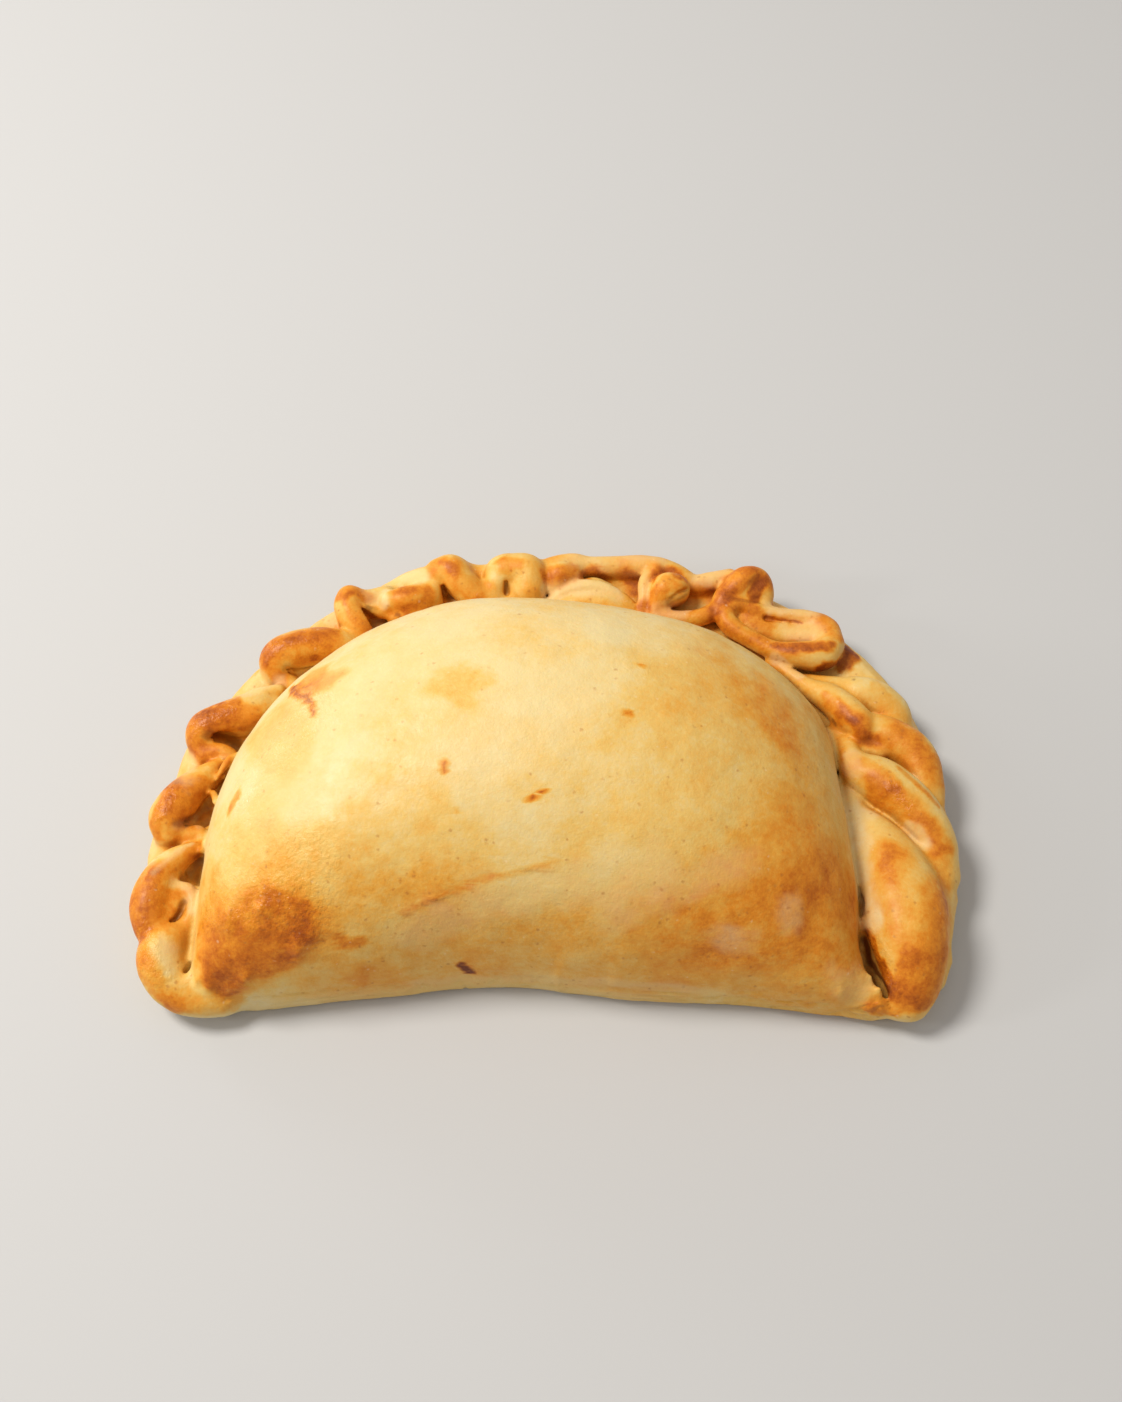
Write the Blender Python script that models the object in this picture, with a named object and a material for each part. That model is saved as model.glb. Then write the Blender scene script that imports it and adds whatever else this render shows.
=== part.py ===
"""A baked empanada: a plump half-moon of filled dough, crimped by hand along its curved edge.

It lies flat on z = 0, with the origin under its middle and the plain folded side towards -Y.
The curved seam runs from the front left corner, round the back, to the front right corner.
Every pleat is placed by two distances: along the seam, and out from it.
Sizes are in millimetres until the meshes are made.
"""
import math
from typing import NamedTuple

import bmesh
import bpy
from mathutils import Vector

MM = 0.001

# Driving dimensions, millimetres
DOME_HEIGHT = 35.4    # before the base is cut flat
DOME_CREST = Vector((-1.0, -4.0))
DOME_OVAL = (49.0, 35.0)   # half length and half depth of the oval that the rings turn into near the crest
EDGE_FLOOR = 4.5      # height of the pressed edge between the dome and its outer roll
EDGE_ROLL = 3.5       # half thickness of the outer roll
BASE_CUT = 0.4        # how much is pressed flat underneath

# How full the dome stands: 2 is an ellipse, and more is squarer in the shoulder
FULLNESS = 2.4
FULLNESS_SIDE = 0.3        # more towards the two short sides
FULLNESS_CORNER = -0.8     # less towards the two corners, where it runs out thin

# The seam, where the dome meets the crimp, from the front left corner to the front right one
SEAM = (
    (-54.5, -37.0), (-53.5, -22.0), (-53.0, -8.0), (-48.5, 5.0), (-39.0, 17.0), (-26.0, 26.5), (-10.0, 30.8),
    (9.0, 30.4), (28.0, 26.4), (39.5, 18.8), (46.5, 7.0), (48.5, -8.0), (48.5, -24.0), (50.0, -38.0),
)
# The folded side of the half-moon, from the right corner to the left one: it bows in at the middle
FOLD = ((46.0, -40.8), (30.0, -38.8), (10.0, -37.8), (-9.0, -35.8), (-28.0, -38.0), (-48.0, -40.0))

# How far the rolled edge under the pleats reaches out from the seam: (along the seam, reach)
EDGE_REACH = ((0.0, 5.6), (7.0, 9.8), (22.0, 11.0), (35.0, 9.6), (50.0, 9.0), (65.0, 10.8), (85.0, 11.4),
              (105.0, 11.6), (120.0, 12.8), (137.0, 12.4), (150.0, 14.2), (161.0, 15.8), (175.0, 16.6),
              (188.0, 16.2), (198.0, 12.5), (206.0, 8.4))

# Mesh fineness
STATION = 1.5         # millimetres between the edge's cross sections
DOME_RINGS = 40
VOXEL = 1.0           # millimetres
TRIANGLE_SHARE = 0.12

TRAY = Vector((200.0, 140.0, 10.0))
DOUGH_COLOUR = (0.78, 0.47, 0.17, 1.0)


class Pleat(NamedTuple):
    """One fold of the crimp: a roll of dough with a knuckle, a tail tucked in to the seam, and a toe."""
    at: float         # along the seam to the knuckle
    reach: float      # from the seam out to the knuckle
    girth: float      # half thickness at the knuckle
    top: float        # height of the knuckle's top
    run: float        # from the knuckle on along the seam to the tail's end
    tuck: float       # from the seam out to the tail's end
    hook: float       # from the knuckle back along the seam to the toe's end
    toe: float        # from the seam out to the toe's end
    tail_girth: float = 1.6
    toe_girth: float = 1.6
    bow: float = 0.0  # how far the tail's middle swings outwards


PLEATS = (
    # left side: hooked folds, each with a pocket between its hook and the dome
    Pleat(2.0, 5.8, 3.2, 8.0, 5.5, 1.9, 5.4, -2.4, 2.2, 2.6),
    Pleat(12.0, 8.4, 3.4, 11.8, 10.5, 1.8, 4.6, 3.2, 1.8, 2.2, 1.6),
    Pleat(27.0, 8.0, 2.9, 11.8, 10.5, 2.4, 3.0, 3.2, 1.8, 1.9, 1.2),
    Pleat(41.0, 8.2, 2.8, 12.2, 13.0, 3.2, 2.6, 2.8, 1.8, 1.9, 1.0),
    Pleat(56.0, 7.6, 3.1, 12.2, 13.5, 3.6, 2.0, 1.8, 2.0, 2.0, 1.2),
    # the back: short knuckles that lean on each other
    Pleat(70.2, 8.6, 2.7, 12.8, 6.0, 7.6, -0.8, 2.4, 1.5, 2.2),
    Pleat(77.0, 5.6, 2.8, 11.0, 6.2, 4.4, 0.1, 1.8, 2.4, 2.2),
    Pleat(85.4, 7.6, 3.1, 13.0, 6.4, 3.4, 2.6, 2.6, 2.2, 2.2, 0.8),
    Pleat(97.0, 5.8, 4.0, 13.0, 4.0, 2.4, 4.8, 2.8, 2.4, 1.8),
    Pleat(104.3, 6.4, 2.4, 12.0, 1.6, 7.4, 1.2, 2.8, 1.6, 1.8),
    Pleat(111.5, 9.9, 2.0, 10.0, 9.4, 10.2, 8.0, 9.4, 1.8, 1.8),
    Pleat(109.0, 3.8, 2.2, 11.5, 7.1, 2.2, 6.2, 2.0, 1.6, 1.4),
    Pleat(121.5, 7.4, 3.7, 13.5, -4.0, 0.6, -2.6, 3.6, 1.6, 2.6),
    Pleat(133.2, 10.4, 3.3, 13.5, -5.0, 5.2, -3.0, 9.8, 2.2, 2.4, -0.4),
    Pleat(128.0, 1.8, 1.9, 11.5, -10.5, 0.6, -3.2, 5.4, 1.5, 2.2, -0.4),
    # the open loop at the right shoulder
    Pleat(146.0, 6.9, 2.4, 12.5, -13.6, 2.2, -3.4, 10.6, 2.0, 2.4, -1.8),
    Pleat(143.0, 11.6, 1.8, 11.8, -9.5, 5.6, -5.2, 11.6, 1.8, 2.4, 0.6),
    # right side: long fat folds, each lying over the next
    Pleat(156.5, 12.0, 3.4, 9.0, -10.0, 2.6, -4.5, 12.8, 1.8, 2.6),
    Pleat(160.0, 4.6, 3.0, 13.5, -16.0, 1.2, -2.4, 2.6, 1.6, 1.8, -0.4),
    Pleat(166.0, 12.8, 3.7, 11.0, -6.0, 5.6, -8.0, 13.2, 2.6, 3.0),
    Pleat(177.0, 10.8, 4.5, 13.5, -12.5, 1.2, -10.0, 13.2, 3.2, 3.0, 0.0),
    Pleat(189.5, 5.8, 5.9, 13.5, -14.5, 2.2, -14.5, 3.8, 3.2, 3.2, 0.4),
    Pleat(203.0, 5.2, 3.0, 6.6, -7.0, 8.6, -3.6, -3.4, 2.6, 2.2),
)


def smooth_path(points, steps):
    """Points along a smooth curve that passes through the given ones (a Catmull-Rom spline)."""
    points = [Vector(point) for point in points]
    padded = [2 * points[0] - points[1]] + points + [2 * points[-1] - points[-2]]
    path = []
    for before, start, end, after in zip(padded, padded[1:], padded[2:], padded[3:]):
        for step in range(steps):
            t = step / steps
            path.append(0.5 * (2 * start + (end - before) * t
                               + (2 * before - 5 * start + 4 * end - after) * t ** 2
                               + (3 * start - before - 3 * end + after) * t ** 3))
    path.append(points[-1])
    return path


def between(table, x):
    """Straight-line interpolation in a table of (x, value) rows."""
    if x <= table[0][0]:
        return table[0][1]
    for (x0, y0), (x1, y1) in zip(table, table[1:]):
        if x <= x1:
            return y0 + (y1 - y0) * (x - x0) / (x1 - x0)
    return table[-1][1]


class Seam:
    """Measures places along the seam and out from it."""

    def __init__(self, corners):
        self.path = smooth_path(corners, 12)
        self.along = [0.0]
        for start, end in zip(self.path, self.path[1:]):
            self.along.append(self.along[-1] + (end - start).length)
        self.length = self.along[-1]

    def place(self, along, out, height):
        """The point at a distance along the seam, a distance out from it, and a height."""
        index = 0
        while index < len(self.path) - 2 and self.along[index + 1] < along:
            index += 1
        start, end = self.path[index], self.path[index + 1]
        step = (end - start).normalized()
        base = start + step * (along - self.along[index])
        return Vector((base.x - step.y * out, base.y + step.x * out, height))


def skin_rings(name, rings):
    """A closed mesh through a stack of equal rings, with its first and last ring filled."""
    mesh = bmesh.new()
    grid = [[mesh.verts.new(point * MM) for point in ring] for ring in rings]
    count = len(grid[0])
    for lower, upper in zip(grid, grid[1:]):
        for i in range(count):
            j = (i + 1) % count
            mesh.faces.new((lower[i], lower[j], upper[j], upper[i]))
    mesh.faces.new(list(reversed(grid[0])))
    mesh.faces.new(grid[-1])
    bmesh.ops.recalc_face_normals(mesh, faces=mesh.faces)
    data = bpy.data.meshes.new(name)
    mesh.to_mesh(data)
    mesh.free()
    return data


def dome_ring(outline, share):
    """One ring of the dome, at a share of the way from the crest to the foot's outline."""
    ring = []
    for point in outline:
        arm = Vector(point) - DOME_CREST
        oval = 1.0 / math.hypot(arm.x / arm.length / DOME_OVAL[0], arm.y / arm.length / DOME_OVAL[1])
        corner = max(0.0, min(1.0, (arm.length / oval - 1.0) / 0.5))
        corner = corner ** 2 * (3.0 - 2.0 * corner)
        side = (arm.x / arm.length) ** 2
        fullness = FULLNESS + FULLNESS_SIDE * side + FULLNESS_CORNER * corner
        fullness = 2.0 + (fullness - 2.0) * share ** 2
        reach = share * (oval + (arm.length - oval) * share ** 2)
        height = DOME_HEIGHT * (1.0 - share ** fullness) ** (1.0 / fullness)
        place = DOME_CREST + arm.normalized() * reach
        ring.append(Vector((place.x, place.y, height)))
    return ring


def dome_mesh():
    """The filled dome: rings that rise from the foot's outline and turn into ovals near the crest."""
    outline = smooth_path(SEAM + FOLD + SEAM[:1], 8)[:-1]
    rings = []
    for level in range(DOME_RINGS):
        angle = math.radians(88.0) * level / (DOME_RINGS - 1)
        rings.append(dome_ring(outline, math.cos(angle) ** 0.9))
    return skin_rings("dome", rings)


def edge_mesh(seam):
    """The doubled edge of the dough under the pleats: a flat floor that ends in a round roll."""
    rings = []
    count = int(seam.length / STATION)
    for station in range(count + 1):
        along = seam.length * station / count
        centre = between(EDGE_REACH, along) - EDGE_ROLL
        ring = [seam.place(along, -8.0, 0.0)]
        for step in range(13):
            turn = math.radians(-90.0 + 20.0 * step)
            ring.append(seam.place(along, centre + EDGE_ROLL * math.cos(turn), EDGE_ROLL * (1.0 + math.sin(turn))))
        ring.append(seam.place(along, min(0.0, centre - EDGE_ROLL), EDGE_FLOOR))
        ring.append(seam.place(along, -8.0, EDGE_FLOOR))
        rings.append(ring)
    return skin_rings("edge", rings)


def pleat_mesh(pleat, seam):
    """A pleat's roll: a tube of changing thickness along its tail, knuckle and toe."""
    places = (
        (pleat.run, pleat.tuck, pleat.tail_girth, 0.74),
        (pleat.run * 0.45, (pleat.tuck + pleat.reach) / 2 + pleat.bow, (pleat.tail_girth + 2 * pleat.girth) / 3, 0.95),
        (0.0, pleat.reach, pleat.girth, 1.0),
        (-pleat.hook, pleat.toe, pleat.toe_girth, 0.66),
    )
    nodes = []
    for shift, out, girth, share in places:
        place = seam.place(pleat.at + shift, out, pleat.top * share - girth)
        nodes.append(place.to_4d())
        nodes[-1].w = girth
    path = smooth_path(nodes, 6)

    spline_data = bpy.data.curves.new("pleat", "CURVE")
    spline_data.dimensions = "3D"
    spline_data.bevel_depth = MM
    spline_data.bevel_resolution = 4
    spline_data.use_fill_caps = True
    spline = spline_data.splines.new("POLY")
    spline.points.add(len(path) - 1)
    for index, (point, node) in enumerate(zip(spline.points, path)):
        ends = min(index, len(path) - 1 - index)
        point.co = (node.x * MM, node.y * MM, max(node.z, node.w * 0.8) * MM, 1.0)
        point.radius = node.w * (0.45, 0.85, 1.0)[min(ends, 2)]
    roll = bpy.data.objects.new("pleat", spline_data)
    bpy.context.scene.collection.objects.link(roll)
    mesh = bpy.data.meshes.new_from_object(roll.evaluated_get(bpy.context.evaluated_depsgraph_get()))
    bpy.data.objects.remove(roll)
    return mesh


def dough_material():
    material = bpy.data.materials.new("baked dough")
    material.use_nodes = True
    shader = material.node_tree.nodes["Principled BSDF"]
    shader.inputs["Base Color"].default_value = DOUGH_COLOUR
    shader.inputs["Roughness"].default_value = 0.5
    shader.inputs["Metallic"].default_value = 0.0
    return material


def build():
    for old in list(bpy.data.objects):
        bpy.data.objects.remove(old)

    seam = Seam(SEAM)
    solid = bmesh.new()
    for shape in [dome_mesh(), edge_mesh(seam)] + [pleat_mesh(pleat, seam) for pleat in PLEATS]:
        solid.from_mesh(shape)
    bmesh.ops.remove_doubles(solid, verts=solid.verts, dist=0.001 * MM)
    bmesh.ops.recalc_face_normals(solid, faces=solid.faces)
    data = bpy.data.meshes.new("empanada")
    solid.to_mesh(data)
    solid.free()
    data.materials.append(dough_material())
    empanada = bpy.data.objects.new("empanada", data)
    bpy.context.scene.collection.objects.link(empanada)

    # One skin over the dome, its edge and the pleats
    skin = empanada.modifiers.new("one skin", "REMESH")
    skin.mode = "VOXEL"
    skin.voxel_size = VOXEL * MM
    skin.use_smooth_shade = True
    soften = empanada.modifiers.new("soften", "SMOOTH")
    soften.factor = 0.5
    soften.iterations = 4
    thin_out = empanada.modifiers.new("fewer triangles", "DECIMATE")
    thin_out.ratio = TRIANGLE_SHARE

    # The flat tray that the base is pressed against
    block = bmesh.new()
    bmesh.ops.create_cube(block, size=1.0)
    bmesh.ops.scale(block, vec=TRAY * MM, verts=block.verts)
    bmesh.ops.translate(block, vec=(0.0, 0.0, -TRAY.z / 2 * MM), verts=block.verts)
    tray_data = bpy.data.meshes.new("tray")
    block.to_mesh(tray_data)
    block.free()
    tray = bpy.data.objects.new("tray", tray_data)
    tray.hide_render = True
    tray.display_type = "WIRE"
    bpy.context.scene.collection.objects.link(tray)
    flat = empanada.modifiers.new("flat base", "BOOLEAN")
    flat.operation = "DIFFERENCE"
    flat.solver = "EXACT"
    flat.object = tray

    # Stand it on the tray, with its box centred on the origin
    empanada.location.z = -BASE_CUT * MM
    shape = empanada.evaluated_get(bpy.context.evaluated_depsgraph_get())
    corners = [Vector(corner) for corner in shape.bound_box]
    empanada.location.x = -(min(c.x for c in corners) + max(c.x for c in corners)) / 2
    empanada.location.y = -(min(c.y for c in corners) + max(c.y for c in corners)) / 2


build()
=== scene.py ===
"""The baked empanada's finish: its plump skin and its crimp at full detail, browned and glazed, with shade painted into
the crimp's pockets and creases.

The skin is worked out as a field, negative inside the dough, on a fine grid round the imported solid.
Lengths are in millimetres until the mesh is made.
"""
import math

import bpy
import numpy as np
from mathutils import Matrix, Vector, noise


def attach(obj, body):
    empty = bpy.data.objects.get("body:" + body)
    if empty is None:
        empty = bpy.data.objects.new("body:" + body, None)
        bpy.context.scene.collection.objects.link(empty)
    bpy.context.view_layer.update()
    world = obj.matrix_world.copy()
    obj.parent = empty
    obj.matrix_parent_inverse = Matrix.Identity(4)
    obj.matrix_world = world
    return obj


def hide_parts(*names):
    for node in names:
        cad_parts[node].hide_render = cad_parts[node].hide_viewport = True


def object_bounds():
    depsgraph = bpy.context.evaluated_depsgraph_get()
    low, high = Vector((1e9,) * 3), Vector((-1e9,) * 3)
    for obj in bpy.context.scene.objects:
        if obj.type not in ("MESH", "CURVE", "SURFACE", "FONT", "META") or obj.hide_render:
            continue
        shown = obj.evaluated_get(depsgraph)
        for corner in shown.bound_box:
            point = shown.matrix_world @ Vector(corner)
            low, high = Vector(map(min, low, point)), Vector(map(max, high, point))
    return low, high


MM = 0.001
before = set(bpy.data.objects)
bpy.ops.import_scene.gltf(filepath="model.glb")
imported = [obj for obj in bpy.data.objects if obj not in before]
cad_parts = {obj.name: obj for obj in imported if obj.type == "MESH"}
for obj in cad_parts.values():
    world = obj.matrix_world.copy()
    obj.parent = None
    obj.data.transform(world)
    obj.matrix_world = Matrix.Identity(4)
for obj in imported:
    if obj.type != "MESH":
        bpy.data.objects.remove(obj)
cad_low, cad_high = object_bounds()

GRID = 0.38      # spacing of the field's samples
MOST_TRIANGLES = 190_000

# ---------------------------------------------------------------- the pastry's forms

DOME_HEIGHT = 35.4
DOME_WAIST = 2.2         # height at which the dome is widest; below it the edge tucks in
PLUMPNESS = 0.44         # half is an ellipse, and less is squarer in the shoulder
EDGE_FLOOR = 6.2
EDGE_ROLL = 3.5
BASE_CUT = 0.4

SEAM = (
    (-54.5, -37.0), (-53.5, -22.0), (-53.0, -8.0), (-48.5, 5.0), (-39.0, 17.0), (-26.0, 26.5), (-10.0, 30.8),
    (9.0, 30.4), (28.0, 26.4), (39.5, 18.8), (46.5, 7.0), (48.5, -8.0), (48.5, -24.0), (50.0, -38.0),
)
DOME_OUTLINE = (
    (-55.0, -33.0), (-54.8, -22.0), (-53.8, -8.0), (-48.9, 5.0), (-39.6, 16.4), (-26.0, 25.8), (-18.5, 28.4),
    (-10.0, 29.6), (9.0, 27.6), (27.0, 23.4), (38.2, 16.2), (46.2, 6.4), (47.6, -8.0), (48.6, -24.0), (48.3, -33.0),
    (50.8, -40.3), (46.0, -40.9), (30.0, -39.0), (10.0, -37.8), (-9.0, -35.8), (-28.0, -37.8), (-46.0, -39.8),
    (-53.2, -38.8),
)
EDGE_REACH = ((0.0, 5.6), (7.0, 9.6), (22.0, 11.0), (33.0, 10.0), (40.0, 11.2),
              (45.0, 9.8), (50.0, 10.3), (55.0, 10.6), (59.0, 10.8), (65.0, 11.3), (85.0, 11.9),
              (105.0, 12.2), (120.0, 13.2), (137.0, 12.6), (150.0, 14.4), (161.0, 15.8), (175.0, 16.6),
              (188.0, 16.4), (191.0, 15.4), (194.0, 14.4), (199.0, 13.2), (203.0, 10.8), (206.0, 8.4))

# Every fold of the crimp is a roll of dough: (flatness, softness of its join, nodes of (x, y, z, half thickness))
FOLDS = {
    "corner_left": (1.0, 1.6, ((-56.8, -28.6, 6.4, 1.9), (-59.1, -31.2, 7.2, 3.3), (-59.3, -34.2, 6.8, 3.6),
                               (-57.4, -37.0, 5.4, 3.5), (-54.0, -38.6, 4.6, 3.2), (-50.0, -38.6, 4.2, 3.0))),
    "corner_left_lip": (1.0, 0.5, ((-56.2, -38.8, 6.8, 0.8), (-54.7, -37.4, 7.6, 0.8), (-53.9, -35.8, 7.6, 0.6))),
    "left_2": (1.0, 0.7, ((-55.4, -14.8, 7.4, 1.2), (-58.0, -17.0, 8.5, 1.9), (-60.6, -20.2, 8.9, 2.6),
                          (-61.8, -24.6, 8.7, 3.0), (-61.2, -28.2, 7.6, 2.9), (-60.0, -30.4, 6.4, 2.2))),
    "left_2_floor": (1.0, 1.0, ((-58.8, -21.0, 7.4, 2.0), (-58.4, -24.0, 7.2, 2.3), (-58.4, -27.0, 6.6, 2.4))),
    "left_2_lip": (1.0, 0.5, ((-58.0, -21.8, 8.0, 1.3), (-56.0, -22.9, 8.0, 1.3), (-55.0, -25.2, 7.8, 1.3),
                              (-55.6, -27.4, 7.4, 1.3))),
    "left_3": (1.0, 0.7, ((-52.6, 0.6, 7.0, 1.3), (-55.4, -2.4, 8.3, 2.2), (-58.4, -5.8, 8.8, 2.9),
                          (-60.7, -9.8, 8.6, 3.2), (-60.6, -12.2, 7.6, 2.6))),
    "left_3_floor": (1.0, 0.7, ((-60.2, -12.6, 6.6, 2.0), (-58.0, -12.8, 6.8, 1.9), (-56.2, -12.2, 7.0, 1.5),
                                (-55.0, -13.4, 6.8, 1.4))),
    "left_4": (1.0, 0.7, ((-46.6, 11.0, 7.0, 2.6), (-49.6, 9.4, 8.2, 3.4), (-53.6, 7.9, 8.8, 3.1),
                          (-56.9, 6.1, 8.5, 3.0), (-57.2, 3.6, 7.2, 2.2), (-55.6, 1.8, 6.6, 1.8))),
    "left_4_tail": (1.0, 0.4, ((-51.6, 10.9, 8.6, 1.6), (-48.4, 12.5, 8.7, 1.5), (-45.4, 14.0, 8.2, 1.2))),
    "left_4_lip": (1.0, 0.7, ((-56.4, 2.2, 7.4, 1.8), (-54.0, 2.4, 7.6, 1.7), (-52.0, 1.2, 7.4, 1.5),
                              (-51.2, -0.4, 7.0, 1.1))),
    "left_5": (1.0, 0.7, ((-32.0, 23.4, 6.5, 1.8), (-36.4, 23.0, 8.0, 3.1), (-41.4, 22.3, 8.8, 3.3),
                          (-45.8, 20.4, 8.5, 3.2), (-45.9, 17.8, 6.8, 2.4), (-43.6, 15.6, 6.2, 1.9))),
    "back_6": (1.0, 0.7, ((-30.6, 24.8, 6.8, 1.5), (-33.0, 27.2, 8.2, 2.7), (-34.7, 30.1, 9.3, 2.5),
                          (-34.6, 32.2, 9.2, 2.3))),
    "back_6_flap": (1.0, 0.9, ((-33.8, 32.0, 8.8, 2.1), (-31.2, 32.5, 8.2, 1.9), (-28.6, 33.7, 8.0, 1.7))),
    "back_6_strand": (1.0, 0.4, ((-33.6, 30.0, 10.2, 1.0), (-31.4, 29.5, 9.2, 1.0), (-29.0, 29.6, 8.2, 0.9))),
    "back_6_web": (1.0, 0.8, ((-30.8, 31.2, 7.6, 1.6), (-28.4, 31.4, 7.8, 1.6))),
    "back_7": (1.0, 0.6, ((-27.3, 31.5, 9.0, 2.1), (-24.2, 32.0, 9.1, 2.5), (-20.8, 33.4, 8.3, 2.5))),
    "back_7_foot": (1.0, 0.8, ((-26.8, 29.2, 7.6, 1.4), (-25.0, 29.6, 7.8, 1.7), (-22.0, 31.0, 7.8, 1.9))),
    "back_8_foot": (1.0, 1.2, ((-28.2, 35.4, 6.0, 1.8), (-25.0, 36.6, 6.8, 2.2), (-22.2, 36.9, 7.8, 2.4))),
    "back_8": (1.0, 0.7, ((-19.2, 37.7, 9.3, 2.5), (-17.0, 37.5, 9.7, 3.0), (-15.3, 35.4, 9.1, 2.9),
                          (-12.8, 33.6, 8.2, 2.6), (-9.8, 32.8, 7.4, 2.2))),
    "back_8_left": (1.0, 0.9, ((-20.2, 36.6, 8.8, 2.2), (-19.6, 34.0, 7.8, 1.7))),
    "back_8_flank": (1.0, 1.0, ((-15.4, 38.0, 8.4, 2.2), (-12.9, 38.0, 7.8, 2.0), (-10.4, 38.4, 7.8, 1.8))),
    "back_9_left": (1.0, 0.8, ((-8.4, 37.6, 9.4, 2.9), (-9.7, 34.6, 8.2, 2.3))),
    "back_9_floor": (1.0, 0.8, ((-7.3, 35.6, 8.4, 1.8), (-7.3, 33.0, 7.4, 1.8))),
    "back_9": (1.0, 0.7, ((-7.2, 37.9, 9.7, 2.9), (-3.9, 37.3, 9.5, 3.3), (-3.6, 34.4, 8.6, 3.1))),
    "back_10": (1.0, 0.7, ((0.9, 35.2, 8.3, 1.8), (1.7, 37.0, 9.2, 2.5), (3.7, 37.4, 9.1, 2.1))),
    "back_roll": (1.0, 1.2, ((-1.0, 38.8, 8.2, 2.0), (3.5, 39.9, 8.6, 2.0), (7.0, 39.4, 8.3, 2.0),
                             (12.0, 39.6, 8.2, 2.0), (18.0, 39.4, 8.3, 2.1), (22.0, 38.0, 8.0, 2.1),
                             (25.2, 36.1, 7.6, 1.9), (28.5, 36.4, 8.0, 1.9), (31.5, 37.0, 8.2, 1.8))),
    "back_sheet": (1.0, 1.2, ((1.0, 30.8, 7.2, 1.8), (5.5, 32.0, 7.9, 2.1), (9.5, 31.6, 7.9, 2.1),
                              (13.4, 29.8, 7.0, 1.8))),
    "back_sheet_edge": (1.0, 0.6, ((-1.2, 31.2, 7.0, 1.1), (2.2, 33.5, 8.5, 1.2), (5.6, 34.6, 9.2, 1.3),
                                   (9.0, 34.2, 9.2, 1.3), (12.2, 32.8, 8.6, 1.2), (14.6, 31.0, 7.2, 1.2))),
    "back_crest": (1.0, 0.4, ((4.8, 35.3, 8.3, 0.8), (7.6, 36.1, 8.5, 0.9), (10.4, 35.2, 8.2, 0.8))),
    "back_11": (1.0, 0.6, ((17.2, 29.2, 6.8, 1.3), (18.8, 31.4, 8.0, 2.0), (20.2, 33.6, 9.4, 2.9),
                           (21.4, 33.8, 9.4, 3.0))),
    "back_11_arch": (1.0, 0.5, ((15.8, 28.8, 6.8, 1.0), (16.5, 32.6, 8.4, 1.15), (16.8, 35.8, 9.0, 1.3),
                                (18.6, 37.9, 9.2, 1.6))),
    "back_strand": (1.0, 0.5, ((16.6, 29.0, 7.0, 0.9), (18.8, 29.6, 7.8, 1.2), (22.0, 29.0, 8.0, 1.3),
                               (25.6, 28.8, 8.2, 1.5), (28.6, 30.1, 8.5, 1.6), (30.4, 32.2, 9.0, 2.0))),
    "back_12": (1.0, 0.7, ((29.8, 31.2, 8.0, 1.7), (31.8, 33.6, 9.1, 2.4), (34.2, 35.4, 9.7, 2.7),
                           (36.5, 35.5, 9.2, 2.2), (37.2, 33.0, 8.2, 1.8), (36.6, 31.0, 7.6, 1.3))),
    "back_12_floor": (1.0, 0.5, ((33.6, 32.6, 8.6, 2.1), (35.4, 33.8, 8.9, 2.2))),
    "loop_outer": (1.0, 0.9, ((35.4, 30.4, 8.6, 1.4), (40.0, 29.2, 8.1, 1.5), (44.6, 28.6, 8.0, 1.6),
                              (47.7, 26.6, 8.2, 2.0), (48.3, 23.6, 8.4, 2.1))),
    "loop_floor": (1.0, 1.6, ((33.2, 28.8, 6.8, 2.0), (36.5, 27.2, 6.2, 2.6), (41.0, 26.0, 5.9, 2.7),
                              (46.2, 24.9, 7.0, 2.4))),
    "loop_inner": (1.0, 0.5, ((35.4, 30.4, 8.6, 1.4), (32.4, 31.0, 9.1, 1.5), (30.3, 29.0, 8.9, 1.8),
                              (31.4, 26.4, 8.8, 1.7), (34.8, 23.8, 8.8, 1.55), (38.2, 21.7, 8.8, 1.7),
                              (42.0, 20.7, 8.9, 2.3), (46.2, 20.7, 8.9, 2.7), (48.1, 22.8, 8.6, 2.2))),
    "right_14": (1.0, 0.8, ((43.2, 16.6, 7.4, 1.1), (48.5, 14.6, 7.8, 2.1), (53.2, 13.2, 7.6, 3.3),
                            (56.8, 10.8, 6.6, 3.5), (58.0, 7.6, 6.0, 2.8))),
    "right_15": (1.0, 0.5, ((37.6, 20.2, 7.6, 0.9), (41.2, 17.0, 8.2, 1.1), (44.0, 14.3, 8.3, 1.7),
                            (46.9, 12.0, 8.9, 2.5), (49.3, 9.0, 9.4, 2.9), (51.1, 6.4, 10.0, 2.5),
                            (51.3, 5.2, 9.8, 2.0))),
    "right_15_sweep": (1.0, 0.7, ((52.4, 6.6, 8.6, 2.6), (56.4, 4.6, 8.6, 3.3), (60.0, 1.4, 7.9, 3.6),
                                  (61.3, -3.4, 7.1, 3.1), (61.7, -7.8, 6.0, 2.4))),
    "right_16": (1.0, 0.5, ((49.2, 3.2, 8.8, 1.5), (49.2, 0.2, 9.2, 2.3), (50.6, -2.2, 9.6, 3.1), (54.0, -4.5, 9.6, 4.0),
                            (58.3, -8.9, 9.2, 4.0), (61.1, -13.8, 7.9, 3.7), (62.3, -19.2, 6.3, 2.8))),
    "right_15_floor": (1.0, 0.8, ((50.6, 3.2, 8.4, 1.5), (54.0, 1.9, 8.4, 1.6))),
    "right_15_under": (1.0, 1.5, ((47.6, 6.2, 6.8, 1.7), (47.8, 2.4, 7.4, 2.0))),
    "right_flap": (1.0, 0.8, ((47.9, -3.6, 7.2, 1.6), (49.2, -7.2, 7.2, 2.2), (49.4, -10.5, 7.2, 2.0))),
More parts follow.
